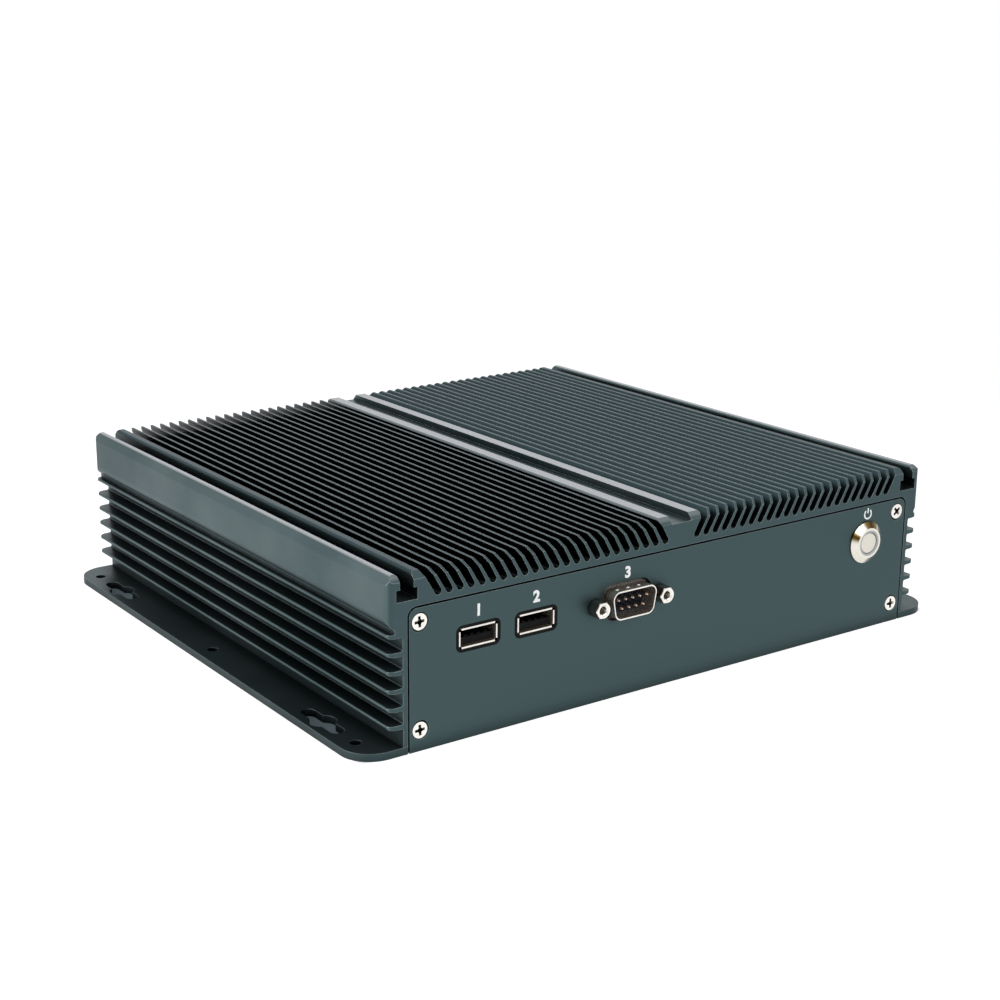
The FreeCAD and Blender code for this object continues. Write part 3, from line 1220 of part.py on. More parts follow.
def serial_port_lead():
    start = FRONT_Y + PANEL_THICKNESS + SERIAL_FLANGE_THICKNESS + SERIAL_BODY_DEPTH
    drop = SERIAL_BODY_HEIGHT / 2 - LEAD_THICKNESS
    return lead(SERIAL_LEAD_WIDTH, SERIAL_X, start, PORT_AXIS_Z - drop)


def power_button_lead():
    start = FRONT_Y + BUTTON_BARREL_LENGTH + 1.5 + BUTTON_TERMINAL_LENGTH
    return lead(BUTTON_LEAD_WIDTH, BUTTON_X, start, BOARD_Z - HEADER_HEIGHT - LEAD_BEND - LEAD_THICKNESS)


PIECES = {
    "housing": housing,
    "base_plate": base_plate,
    "base_plate_screws": base_plate_screws,
    "front_panel": front_panel,
    "front_panel_screws": front_panel_screws,
    "rear_panel": rear_panel,
    "rear_panel_screws": rear_panel_screws,
    "data_port_shells": data_port_shells,
    "data_port_inserts": data_port_inserts,
    "data_port_contacts": data_port_contacts,
    "serial_port_shell": lambda: at_front(serial_shell(), SERIAL_X, PORT_AXIS_Z),
    "serial_port_insert": lambda: at_front(serial_insert(), SERIAL_X, PORT_AXIS_Z),
    "serial_port_pins": lambda: group([at_front(pin, SERIAL_X, PORT_AXIS_Z) for pin in serial_pins()]),
    "serial_port_jackscrews": lambda: group([at_front(screw, SERIAL_X, PORT_AXIS_Z) for screw in jackscrews()]),
    "power_button_bezel": power_button_bezel,
    "power_button_light_ring": power_button_light_ring,
    "power_button_cap": power_button_cap,
    "power_button_switch": power_button_switch,
    "power_button_nut": power_button_nut,
    "power_button_lead": power_button_lead,
    "serial_port_lead": serial_port_lead,
    "rear_serial_shells": lambda: rear_serial([serial_shell()]),
    "rear_serial_inserts": lambda: rear_serial([serial_insert()]),
    "rear_serial_pins": lambda: rear_serial(serial_pins()),
    "rear_serial_jackscrews": lambda: rear_serial(jackscrews()),
    "rear_data_port_shells": rear_data_port_shells,
    "rear_data_port_inserts": rear_data_port_inserts,
    "rear_data_port_contacts": rear_data_port_contacts,
    "network_port_shells": network_port_shells,
    "network_port_inserts": network_port_inserts,
    "network_port_contacts": network_port_contacts,
    "video_port_shell": video_port_shell,
    "video_port_insert": video_port_insert,
    "power_inlet": power_inlet,
    "power_inlet_pin": power_inlet_pin,
    "audio_sockets": audio_sockets,
    "main_board": main_board,
    "board_screws": board_screws,
    "processor": processor,
    "thermal_pad": thermal_pad,
    "heat_spreader": heat_spreader,
    "heat_spreader_screws": heat_spreader_screws,
    "memory_socket": memory_socket,
    "memory_module": memory_module,
    "storage_socket": storage_socket,
    "storage_card": storage_card,
    "storage_post": storage_post,
    "storage_screw": storage_screw,
    "coin_cell_holder": coin_cell_holder,
    "coin_cell": coin_cell,
    "board_chips": board_chips,
    "board_capacitors": board_capacitors,
    "board_headers": board_headers,
}

os.makedirs("parts", exist_ok=True)
for name, build in PIECES.items():
    shape = build()
    volumes = sum(solid.Volume for solid in shape.Solids)
    print(f"{name}: {len(shape.Solids)} solid(s), {volumes:.1f} mm3, valid {shape.isValid()}")
    shape.exportStep(f"parts/{name}.step")
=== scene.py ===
# %% [markdown]
# # A fanless industrial computer
# The object is a finned aluminium box on a flanged plate. Its two end panels carry the connectors and a metal
# power button. The solids come ready made from the CAD frame, so this lesson is about finishes, about the
# small turned and stamped pieces that catch the light, and about a quiet studio.
# The first cell loads the frame. One unit is one metre, +X runs to the right along the front, +Y to the back.

# %% Load the frame
import math

import bmesh
import bpy
from mathutils import Matrix, Vector
from mathutils.geometry import tessellate_polygon


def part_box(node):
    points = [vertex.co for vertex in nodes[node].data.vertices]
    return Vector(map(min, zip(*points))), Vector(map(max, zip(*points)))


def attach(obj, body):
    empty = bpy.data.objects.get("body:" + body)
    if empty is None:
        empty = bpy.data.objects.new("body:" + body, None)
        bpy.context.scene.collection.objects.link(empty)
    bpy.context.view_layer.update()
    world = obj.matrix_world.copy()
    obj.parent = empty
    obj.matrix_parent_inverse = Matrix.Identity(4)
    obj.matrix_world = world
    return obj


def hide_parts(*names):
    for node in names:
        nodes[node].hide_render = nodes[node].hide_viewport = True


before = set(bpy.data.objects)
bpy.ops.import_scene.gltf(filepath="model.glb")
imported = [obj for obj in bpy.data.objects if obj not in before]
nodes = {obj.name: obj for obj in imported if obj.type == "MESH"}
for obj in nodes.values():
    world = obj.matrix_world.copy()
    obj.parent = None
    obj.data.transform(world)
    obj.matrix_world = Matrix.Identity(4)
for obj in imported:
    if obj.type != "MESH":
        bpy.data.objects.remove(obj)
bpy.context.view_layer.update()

MM = 0.001

# %% [markdown]
# ## Helpers for materials
# Finishes are written as sRGB hex values, because that is how colours are usually noted down. Blender's
# sockets want linear light, so one function turns them over. A second function adds a shader node with its
# settings and its links in one line, which keeps each material readable from top to bottom. Map Range takes
# a value and its range, then the range that it is stretched to, 0 to 1 where nothing is said. Mix, when it
# mixes colours, has its share in input 0, its colours in inputs 6 and 7, and its result at output 2.

# %% Colour and node helpers
def linear(hex_colour):
    """sRGB hex to the linear RGBA that a shader socket expects."""
    values = [int(hex_colour[i:i + 2], 16) / 255 for i in (1, 3, 5)]
    return [v / 12.92 if v <= 0.04045 else ((v + 0.055) / 1.055) ** 2.4 for v in values] + [1.0]


def add(material, kind, settings=None, inputs=(), **named_inputs):
    """Add a shader node. inputs follow the node's own order, and i6 as a name means input 6.

    A node or an output socket as a value makes a link. Anything else is set on the input itself.
    """
    node = material.node_tree.nodes.new("ShaderNode" + kind)
    for name, value in (settings or {}).items():
        setattr(node, name, value)
    for key, value in [*enumerate(inputs), *named_inputs.items()]:
        if isinstance(key, str):
            key = int(key[1:]) if key[1:].isdigit() else key.replace("_", " ")
        if isinstance(value, bpy.types.Node):
            value = value.outputs[0]
        if isinstance(value, bpy.types.NodeSocket):
            material.node_tree.links.new(value, node.inputs[key])
        else:
            node.inputs[key].default_value = value
    return node


def new_material(name):
    """An empty node tree, ready for add()."""
    material = bpy.data.materials.new(name)
    material.use_nodes = True
    material.node_tree.nodes.clear()
    return material


def surface(material, shader):
    """Link a finished shader to the material's output."""
    add(material, "OutputMaterial", None, Surface=shader)
    return material


COLOURS = {"data_type": "RGBA"}  # makes Mix mix colours
print("middle grey in linear light:", round(linear("#808080")[0], 3))

# %% [markdown]
# ## Ideas that the finishes share
# Real surfaces change in patches: a finish applies where the metal faces up and lies near the top and is away
# from an edge. Each condition is a share from 0 to 1, and their product is the share of all of them. How
# squarely a face looks to the front or the rear is one that comes back often. Grain is noise whose spots
# have a real size in millimetres. It can be drawn out along an axis, as rolling or a die draws it.

# %% Shares and grain
def share_of_all(material, shares):
    """The product of several shares: 1 only where every one of them is 1."""
    product = shares[0]
    for share in shares[1:]:
        product = add(material, "Math", {"operation": "MULTIPLY"}, (product, share))
    return product


def facing_y(material):
    """How squarely a face looks to the front or the rear, from 0 to 1."""
    facing = add(material, "SeparateXYZ", None, (add(material, "NewGeometry").outputs["Normal"],))
    return add(material, "Math", {"operation": "ABSOLUTE"}, (facing.outputs["Y"],))


def grain(material, size_mm, detail=2.0, stretch=(1, 1, 1)):
    """Noise whose spots are about size_mm wide, drawn out along an axis by its stretch."""
    place = add(material, "TexCoord").outputs["Object"]
    scale = [1 / (size_mm * MM * factor) for factor in stretch]
    mapped = add(material, "Mapping", None, Vector=place, Scale=scale)
    return add(material, "TexNoise", None, Vector=mapped, Scale=1.0, Detail=detail)


print("grain of 0.35 mm means a noise scale of", round(1 / (0.35 * MM)), "to the metre")

# %% [markdown]
# ## Where painted light and shade go on the housing
# The housing is one extrusion, cut to length, blasted with fine glass beads and anodised in a dyed bath. The
# wide flat lands beside the channel and along the T-slots get a pale colour that is a painted highlight, and
# the fins between them get a darker colour that is painted shade. The painted shade deep between the fins
# leaves their bevelled ends out. The extrusion lies along Y, so a point's
# height, its distance from the middle and the way it faces are enough to tell these places apart.

# %% Shares of painted fin shade, painted land highlight and fin ends
side, _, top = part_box("housing")[1]
FIN_FEET = (top - 7.5 * MM, top - 5.0 * MM)  # heights between which the fins leave their wall
FLAT_TOPS = (top - 1.6 * MM, top - 0.8 * MM)  # heights above which only the flat tops lie
MIDDLE_LANDS = (8.2 * MM, 8.6 * MM)  # how far from the middle the channel's lands end
RAIL_LANDS = (side - 7.3 * MM, side - 6.9 * MM)  # how far from the middle the rails' lands begin


def places_on_housing(material, geometry):
    """The shares of painted fin shade, painted land highlight, and fin ends kept out of the painted gap
    shade.
    """
    place = add(material, "SeparateXYZ", None, (geometry.outputs["Position"],))
    facing = add(material, "SeparateXYZ", None, (geometry.outputs["Normal"],))
    off_middle = add(material, "Math", {"operation": "ABSOLUTE"}, (place.outputs["X"],))
    endwise = facing_y(material)
    near_top = add(material, "MapRange", None, (place.outputs["Z"], *FIN_FEET))
    banks = share_of_all(material, [
        add(material, "MapRange", None, (off_middle, *MIDDLE_LANDS)),
        add(material, "MapRange", None, (off_middle, *RAIL_LANDS, 1.0, 0.0))])
    fin_shade = share_of_all(material, [
        banks, near_top, add(material, "MapRange", None, (facing.outputs["Z"], 0.12, 0.25)),
        add(material, "MapRange", None, (endwise, 0.1, 0.3, 1.0, 0.0))])
    land_highlight = share_of_all(material, [
        add(material, "MapRange", None, (place.outputs["Z"], *FLAT_TOPS)),
        add(material, "MapRange", None, (facing.outputs["Z"], 0.6, 0.9)),
        add(material, "Math", {"operation": "SUBTRACT"}, (1.0, banks))])
    fin_ends = share_of_all(material, [
        near_top, add(material, "MapRange", None, (endwise, 0.15, 0.4, 0.0, 0.75))])
    return fin_shade, land_highlight, fin_ends


print(f"fins: above {FIN_FEET[0] / MM:.1f} mm, {MIDDLE_LANDS[1] / MM:.1f} to {RAIL_LANDS[0] / MM:.1f} mm off")

# %% [markdown]
# ## Anodised aluminium
# Blasting and a dyed bath leave an even satin metal: dark, slightly blue-green, with soft broad highlights.
# The die leaves very faint lines along the length, the cut ends are a little lighter, and every sharp edge
# is really a tiny radius. The bevel node gives that radius to the shading alone, and its edges also get a
# pale painted highlight. Between the fins the colour is painted nearly black as shade: ambient occlusion
# measures how deep a point lies between its neighbours, and that share darkens the colour.

# %% Anodised finishes
BEAD_MM = 0.35  # blasted texture, drawn coarser than the real 0.1 mm so that it shows
CLOUD_MM, CLOUD_SHARE = 38.0, 0.12  # slow drift of the dye over the case
EDGE_RADIUS_MM, EDGE_HIGHLIGHT_SHARE = 0.22, 0.75  # broken edges of fins and plates, and how much of the pale painted highlight they get
GAP_SHADE_MM = 8.0  # how far a wall may stand off and still darken a point with painted shade
GAP_SHADE_RANGE = (0.26, 0.78)  # how open a point is where the painted shade is full, and where it is gone
# painted shade: the near-black that fills the gaps between the fins
GAP_SHADE_COLOUR = "#030505"
# painted shade: the darker colour of the fin banks
FIN_SHADE_COLOUR = "#34464A"
# painted highlight: the pale colour of the wide flat lands
LAND_HIGHLIGHT_COLOUR = "#9EA2A5"
METAL_SHARE = 0.88  # the dyed oxide on top is no metal, so a little light scatters in it


def anodised(name, body, edge, cut_end, rough, lines_along):
    """Blasted and dyed aluminium, with painted highlight and painted shade laid on by place. lines_along is
    the stretch of the faint die or rolling lines.
    """
    material = new_material(name)
    geometry = add(material, "NewGeometry")
    fin_shade, land_highlight, fin_ends = places_on_housing(material, geometry)
    rounded = add(material, "Bevel", {"samples": 4}, Radius=EDGE_RADIUS_MM * MM)
    match = add(material, "VectorMath", {"operation": "DOT_PRODUCT"}, (rounded, geometry.outputs["Normal"]))
    edge_highlight = add(material, "MapRange", None, (match.outputs["Value"], 0.80, 0.995, EDGE_HIGHLIGHT_SHARE, 0.0))
    cut_ends = add(material, "MapRange", None, (facing_y(material), 0.6, 0.8))
    clouds = add(material, "MapRange", None, (grain(material, CLOUD_MM, 3.0), 0.3, 0.7, 0.0, CLOUD_SHARE))
    tone = add(material, "Mix", COLOURS, i0=clouds, i6=linear(body), i7=linear(edge)).outputs[2]
    # Along the broken edges the edge colour is a painted highlight, on the fin banks the fin colour is
    # painted shade, and on the flat lands the land colour is a painted highlight.
    for share, colour in ((cut_ends, cut_end), (fin_shade, FIN_SHADE_COLOUR), (edge_highlight, edge), (land_highlight, LAND_HIGHLIGHT_COLOUR)):
        tone = add(material, "Mix", COLOURS, i0=share, i6=tone, i7=linear(colour)).outputs[2]
    # Between the fins the colour goes over to a near-black painted shade, by how enclosed a point is; the fin
    # ends are kept out of it.
    openness = add(material, "AmbientOcclusion", {"samples": 6}, Distance=GAP_SHADE_MM * MM)
    whole = add(material, "MapRange", None, (openness.outputs["AO"], *GAP_SHADE_RANGE))
    whole = add(material, "Math", {"operation": "MAXIMUM"}, (whole, fin_ends))
    tone = add(material, "Mix", COLOURS, i0=whole, i6=linear(GAP_SHADE_COLOUR), i7=tone).outputs[2]
    beads = grain(material, BEAD_MM, 2.0)
    lines = grain(material, 0.5, 2.0, lines_along)
    rough_value = add(material, "Math", {"operation": "MULTIPLY_ADD"}, (lines, 0.10, rough - 0.05))
    height = add(material, "Math", {"operation": "MULTIPLY_ADD"}, (lines, 0.6, beads))
    bump = add(material, "Bump", None, Height=height, Strength=0.12, Distance=0.05 * MM, Normal=rounded)
    shader = add(material, "BsdfPrincipled", None, Base_Color=tone, Metallic=METAL_SHARE,
                 Roughness=rough_value, Specular_IOR_Level=0.30, Specular_Tint=linear("#E2E0E2"), Normal=bump)
    return surface(material, shader)


anodised_extrusion = anodised("anodised_extrusion", "#445658", "#B4BEBF", "#3E4F52", 0.40, (1, 160, 1))
anodised_sheet = anodised("anodised_sheet", "#384648", "#93A3A4", "#3E4F51", 0.42, (120, 1, 1))
print("anodised finishes:", anodised_extrusion.name, anodised_sheet.name)

# %% [markdown]
# ## Plated metal
# The screws, port shells and jackscrews are steel with a bright nickel plate: a warm white metal with sharp
# reflections that wander a little, because the plate follows the rolled sheet. Faces that run along the
# port, on shells, posts and screws, get a darker, warmer colour that is painted shade, and ambient
# occlusion over a short reach paints the bottom of a bore or a screw's recess dark as shade. Tin and gold
# on the contacts are the same finish in other colours; the data ports' contacts and springs get a dark grey
# tin that is painted shade inside the ports.

# %% Nickel, tin and gold plate
RECESS_SHADE_MM = 1.8  # inside this reach, bores and screw recesses are painted dark as shade
# painted shade at the bottom of bores and recesses
RECESS_SHADE_COLOUR = "#16140F"
RIPPLE_MM = 0.5  # waves of the rolled sheet below the plate


def plated(name, colour, shade, rough, ripple, recess_shade_mm=RECESS_SHADE_MM, wall=None, metallic=1.0):
    """Plated metal: mirror-like with a slight wander in tone. wall is a darker colour painted as shade on
    faces along the port.
    """
    material = new_material(name)
    wander = grain(material, 1.6, 3.0)
    tone = add(material, "Mix", COLOURS, i0=wander, i6=linear(colour), i7=linear(shade)).outputs[2]
    # Faces along the port get the wall colour: painted shade, darker than the rim.
    if wall:
        rim = add(material, "MapRange", None, (facing_y(material), 0.3, 0.7))
        tone = add(material, "Mix", COLOURS, i0=rim, i6=linear(wall), i7=tone).outputs[2]
    # painted shade in bores and recesses, by how enclosed a point is
    openness = add(material, "AmbientOcclusion", {"samples": 6}, Distance=recess_shade_mm * MM)
    unshaded = add(material, "MapRange", None, (openness.outputs["AO"], 0.25, 0.85))
    tone = add(material, "Mix", COLOURS, i0=unshaded, i6=linear(RECESS_SHADE_COLOUR), i7=tone).outputs[2]
    rough_value = add(material, "MapRange", None, (wander, 0.3, 0.7, rough - 0.04, rough + 0.05))
    bump = add(material, "Bump", None, Height=grain(material, RIPPLE_MM, 2.0), Strength=ripple,
               Distance=0.04 * MM)
    shader = add(material, "BsdfPrincipled", None, Base_Color=tone, Metallic=metallic, Roughness=rough_value,
                 Normal=bump)
    return surface(material, shader)


# the last colour on these two lines is painted shade on faces along the port
nickel_plate = plated("nickel_plated_steel", "#F4F1EC", "#D6D2CA", 0.20, 0.20, RECESS_SHADE_MM, "#8F857B")
shell_plate = plated("nickel_plated_shell", "#F0ECE6", "#D8D3CA", 0.24, 0.25, 0.7, "#BDB0A4", 0.8)
pressed_plate = plated("burnished_nickel", "#F4F1EC", "#E0DBD3", 0.16, 0.1)
tin_plate = plated("tin_plated_pins", "#B9BDBE", "#8F9496", 0.26, 0.12)
pin_plate = plated("gold_washed_pins", "#D8C2AE", "#AD9482", 0.26, 0.12)
gold_flash = plated("gold_flashed_brass", "#E2C27E", "#C9A560", 0.24, 0.15)
# a dark copy of tin: painted shade on the contacts and springs inside the data ports
shaded_tin_contact = plated("tin_contacts_painted_shade", "#4A4A48", "#343432", 0.35, 0.15)
milled_aluminium = plated("milled_aluminium", "#D6D8DA", "#BEC1C4", 0.32, 0.3)
print("plated finishes:", nickel_plate.name, shell_plate.name, pin_plate.name)

# %% [markdown]
# ## Turned stainless steel
# The button's bezel and cap are turned stainless steel, and the tool leaves fine rings round the button's
# axis: a sine over the distance from that axis, in tone, roughness and bump. The bezel's chamfer keeps two
# patches of a straw-brown temper colour, where the tool ran hot. They are placed by their angle round
# the axis, and fade out at their ends.

# %% Turned finishes
TURNING_PITCH_MM = 0.12  # from one ring that the tool leaves to the next
PATCH_FADE = 5  # degrees over which a temper patch fades
BEZEL_PATCHES = ((78, 26), (153, 12))  # middle and half width in degrees round the axis


def tempered(material, tone, offset, patches):
    """The tone with temper patches on the chamfer. offset is the place measured from the axis."""
    parts = add(material, "SeparateXYZ", None, (offset,))
    around = add(material, "Math", {"operation": "ARCTAN2"}, (parts.outputs["Z"], parts.outputs["X"]))
    chamfer = add(material, "MapRange", None, (facing_y(material), 0.93, 0.97, 1.0, 0.0))
    for middle, half in patches:
        off = add(material, "Math", {"operation": "SUBTRACT"}, (around, math.radians(middle)))
        off = add(material, "Math", {"operation": "ABSOLUTE"}, (off,))
        core = add(material, "MapRange", None, (off, 0.0, math.radians(half), 1.0, 0.0))
        patch = add(material, "MapRange", None,
                    (off, math.radians(half - PATCH_FADE), math.radians(half + PATCH_FADE), 1.0, 0.0))
        temper = add(material, "Mix", COLOURS, i0=core, i6=linear("#8A7342"), i7=linear("#3B2D14")).outputs[2]
        share = share_of_all(material, [chamfer, patch])
        tone = add(material, "Mix", COLOURS, i0=share, i6=tone, i7=temper).outputs[2]
    return tone


def turned(name, colour, shade, rough, axis_node, patches=()):
    """Stainless steel with turning rings round the middle of a CAD node."""
    low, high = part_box(axis_node)
    material = new_material(name)
    place = add(material, "TexCoord").outputs["Object"]
    offset = add(material, "VectorMath", {"operation": "SUBTRACT"}, (place, (low + high) / 2))
    flattened = add(material, "VectorMath", {"operation": "MULTIPLY"}, (offset, (1, 0, 1)))
    radius = add(material, "VectorMath", {"operation": "LENGTH"}, (flattened,)).outputs["Value"]
    turns = add(material, "Math", {"operation": "MULTIPLY"}, (radius, 2 * math.pi / (TURNING_PITCH_MM * MM)))
    wave = add(material, "Math", {"operation": "SINE"}, (turns,))
    crest = add(material, "MapRange", None, (wave, -1.0, 1.0))
    tone = add(material, "Mix", COLOURS, i0=crest, i6=linear(colour), i7=linear(shade)).outputs[2]
    tone = tempered(material, tone, offset, patches)
    rough_value = add(material, "MapRange", None, (wave, -1.0, 1.0, rough - 0.05, rough + 0.07))
    bump = add(material, "Bump", None, Height=wave, Strength=0.12, Distance=0.01 * MM)
    shader = add(material, "BsdfPrincipled", None, Base_Color=tone, Metallic=1.0, Roughness=rough_value,
                 Normal=bump)
    return surface(material, shader)


turned_bezel = turned("turned_stainless_steel", "#E0DCD2", "#CFCABF", 0.17, "power_button_bezel",
                      BEZEL_PATCHES)
turned_cap = turned("faced_stainless_steel", "#DAD6CD", "#C4C0B6", 0.34, "power_button_cap")
print("turned finishes:", turned_bezel.name, turned_cap.name)

# %% [markdown]
# ## Moulded plastics and ink
# The inserts in the ports are glass-filled nylon, moulded in a spark-eroded tool: nearly black, with a dull
# sheen. The serial port's insert is the same plastic in navy. The ring round the button cap is frosted
# polycarbonate, which spreads the lamp's light and looks pale grey when the lamp is off. Silicone, the
# leads' sheath and screen printed ink have the same fine surface in other colours and gloss.

# %% Plastics
def moulded(name, colour, light, rough, texture_mm=0.25, gloss=0.5):
    """Plastic with an eroded mould texture and a faint drift in tone. gloss is the specular level."""
    material = new_material(name)
    drift = add(material, "MapRange", None, (grain(material, 6.0, 2.0), 0.3, 0.7))
    tone = add(material, "Mix", COLOURS, i0=drift, i6=linear(colour), i7=linear(light)).outputs[2]
    texture = grain(material, texture_mm, 2.0)
    bump = add(material, "Bump", None, Height=texture, Strength=0.25, Distance=0.03 * MM)
    rough_value = add(material, "MapRange", None, (texture, 0.3, 0.7, rough - 0.05, rough + 0.08))
    shader = add(material, "BsdfPrincipled", None, Base_Color=tone, Roughness=rough_value,
                 Specular_IOR_Level=gloss, Normal=bump)
    return surface(material, shader)


black_nylon = moulded("moulded_black_nylon", "#060707", "#0C0D0E", 0.42, 0.25, 0.08)
navy_nylon = moulded("moulded_navy_nylon", "#101D2E", "#16283E", 0.38, 0.25, 0.15)
frosted_ring = moulded("frosted_polycarbonate", "#A4A9AB", "#B3B8BA", 0.30, 0.15)
silicone_pad = moulded("silicone_thermal_pad", "#8792A6", "#98A3B5", 0.75, 0.4)
lead_sheath = moulded("extruded_lead_sheath", "#6E7072", "#808284", 0.50, 0.4)
printed_ink = moulded("screen_printed_ink", "#FBFCFC", "#F2F4F4", 0.55, 0.12)
print("plastics:", black_nylon.name, navy_nylon.name, frosted_ring.name)

# %% [markdown]
# ## Circuit board
# The board is glass cloth in epoxy under a green lacquer. The copper tracks below the lacquer show as paler
# green paths that run at right angles, so a brick pattern, whose joints stand for the tracks, gives the idea
# at the right scale. It is seen only through gaps, but it keeps its own finish.

# %% Circuit board
TRACK_PITCH_MM = 2.4


def circuit_board():
    """Green lacquer over tracks: the brick pattern's joints are the tracks."""
    material = new_material("lacquered_circuit_board")
    place = add(material, "TexCoord").outputs["Object"]
    tracks = add(material, "TexBrick", None, Vector=place, Color1=linear("#0E3B24"), Color2=linear("#114428"),
                 Mortar=linear("#2E7A4C"), Scale=0.5 / (TRACK_PITCH_MM * MM), Mortar_Size=0.04)
    bump = add(material, "Bump", None, Height=tracks.outputs["Fac"], Strength=0.2, Distance=0.03 * MM)
    shader = add(material, "BsdfPrincipled", None, Base_Color=tracks.outputs["Color"], Roughness=0.32,
                 Normal=bump)
    return surface(material, shader)


green_board = circuit_board()
print("board finish:", green_board.name)

# %% [markdown]
# ## Give the CAD nodes their finishes
# A CAD node keeps its mesh. Only the material in its slots changes, so a table from material to nodes is
# enough, and one loop goes through it.

# %% Assign finishes
FINISHES = {
    anodised_extrusion: ["housing"],
    anodised_sheet: ["base_plate", "front_panel", "rear_panel"],
    nickel_plate: ["base_plate_screws", "front_panel_screws", "rear_panel_screws", "serial_port_jackscrews",
                   "rear_serial_jackscrews", "board_screws", "heat_spreader_screws", "storage_screw",
                   "coin_cell", "power_button_nut"],
    shell_plate: ["data_port_shells", "serial_port_shell", "rear_serial_shells", "rear_data_port_shells",
                  "network_port_shells", "video_port_shell"],
    turned_bezel: ["power_button_bezel"],
    turned_cap: ["power_button_cap"],
    frosted_ring: ["power_button_light_ring"],
    black_nylon: ["data_port_inserts", "rear_data_port_inserts", "network_port_inserts", "video_port_insert",
                  "power_inlet", "audio_sockets", "power_button_switch", "memory_socket", "storage_socket",
                  "coin_cell_holder", "board_chips", "board_headers"],
    navy_nylon: ["serial_port_insert", "rear_serial_inserts"],
    tin_plate: ["rear_serial_pins", "power_inlet_pin"],
    shaded_tin_contact: ["data_port_contacts", "rear_data_port_contacts"],
    gold_flash: ["network_port_contacts", "storage_post"],
    pin_plate: ["serial_port_pins"],
    green_board: ["main_board", "memory_module", "storage_card", "processor"],
    milled_aluminium: ["heat_spreader", "board_capacitors"],
    silicone_pad: ["thermal_pad"],
    lead_sheath: ["serial_port_lead", "power_button_lead"],
}
for material, names in FINISHES.items():
    for name in names:
        for slot in nodes[name].material_slots:
            slot.material = material
finished = {name for names in FINISHES.values() for name in names}
print("nodes without a finish:", sorted(set(nodes) - finished))

# %% [markdown]
# ## Where things stand
# New pieces are drawn in millimetres on one side of the box. Their places come from the boxes of the CAD
# nodes that they sit on, so they follow when a length in the CAD source changes.

# %% Places read from the frame
DATA_PORT_PITCH = 20.7


def middle_of(node):
    """The middle of a node's box, in millimetres."""
    low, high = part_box(node)
    return (low + high) / 2 / MM


FRONT_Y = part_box("front_panel")[0].y / MM
REAR_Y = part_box("rear_panel")[1].y / MM
serial_port, power_button = middle_of("serial_port_shell"), middle_of("power_button_bezel")
data_ports = [middle_of("data_port_shells") + Vector((side * DATA_PORT_PITCH / 2, 0, 0)) for side in (-1, 1)]
print("port middles:", [round(port.x, 2) for port in (*data_ports, serial_port)],
      "at height", round(serial_port.z, 2))

# %% [markdown]
# ## A way to build small turned and pressed pieces
# Screws and posts are rings of points stacked along an axis. Each ring has the same number of points, so
# neighbouring rings are joined by quads, and a ring may be a circle, a hexagon or anything else whose radius
# depends on the angle. That is how a lathe thinks too, which is what made most of these pieces.

# %% Rings
RING_POINTS = 72


def ring(radius, depth):
    """One ring of points. The radius is a number in millimetres, or a function of the angle."""
    points = []
    for index in range(RING_POINTS):
        angle = 2 * math.pi * index / RING_POINTS
        reach = radius(angle) if callable(radius) else radius
        points.append((reach * math.cos(angle), reach * math.sin(angle), depth))
    return points


def join_rings(rings):
    """Vertices and faces of a closed skin over a stack of rings."""
    points = [point for one in rings for point in one]
    count = len(rings[0])
    faces = []
    for level in range(len(rings) - 1):
        for index in range(count):
            a, b = level * count + index, level * count + (index + 1) % count
            faces.append((a, b, b + count, a + count))
    faces.append(tuple(range(count)))
    faces.append(tuple(range(len(points) - count, len(points))))
    return points, faces


strays = 1 - math.cos(math.pi / RING_POINTS)
print(f"a ring strays from its circle by {100 * strays:.2f} % of its radius")

# %% [markdown]
# ## From a drawing to a piece
# Depth is measured into the metal from the surface that a piece sits in, so the same drawing serves the
# front, the rear and the underside: only the placing matrix changes. All shapes of one kind become one
# object. Points that fall together are welded, faces are shaded smooth, and sharp edges stay sharp.

# %% Placing and the finished piece
WELD_MM = 0.002  # points nearer than this are one point
CREASE_DEGREES = 32.0  # edges over this angle stay sharp


def new_object(name, data):
    """An object in the scene that shows a mesh or a curve, or is a camera or a lamp."""
    made = bpy.data.objects.new(name, data)
    bpy.context.scene.collection.objects.link(made)
    return made


def placing(x, y, z, facing):
    """Millimetres on a surface to metres in the room. facing is the side of the box it is on."""
    across, up, inward = {
        "front": ((1, 0, 0), (0, 0, 1), (0, 1, 0)),
        "rear": ((-1, 0, 0), (0, 0, 1), (0, -1, 0)),
        "underside": ((1, 0, 0), (0, -1, 0), (0, 0, 1)),
        "upward": ((1, 0, 0), (0, 1, 0), (0, 0, -1)),
    }[facing]
    turn = Matrix((across, up, inward)).transposed().to_4x4()
    return Matrix.Translation(Vector((x, y, z)) * MM) @ Matrix.Scale(MM, 4) @ turn


def finish_piece(name, shapes, material, instead_of=(), body="computer"):
    """Join (points, faces, placing) shapes into one object that rides on a body of the frame."""
    skin = bmesh.new()
    for points, faces, place in shapes:
        made = [skin.verts.new(place @ Vector(point)) for point in points]
        for face in faces:
            skin.faces.new([made[index] for index in face])
    bmesh.ops.remove_doubles(skin, verts=skin.verts, dist=WELD_MM * MM)
    bmesh.ops.recalc_face_normals(skin, faces=skin.faces)
    for face in skin.faces:
        face.smooth = True
    mesh = bpy.data.meshes.new(name)
    skin.to_mesh(mesh)
    skin.free()
    mesh.set_sharp_from_angle(angle=math.radians(CREASE_DEGREES))
    mesh.materials.append(material)
    piece = new_object(name, mesh)
    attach(piece, body)
    if instead_of:
        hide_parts(*instead_of)
    print(f"{name}: {len(shapes)} shapes, {len(mesh.polygons)} faces")
    return piece


print("a point 1 mm deep in the front panel lies at",
      [round(v, 4) for v in placing(0, FRONT_Y, 0, "front") @ Vector((0, 0, 1))])

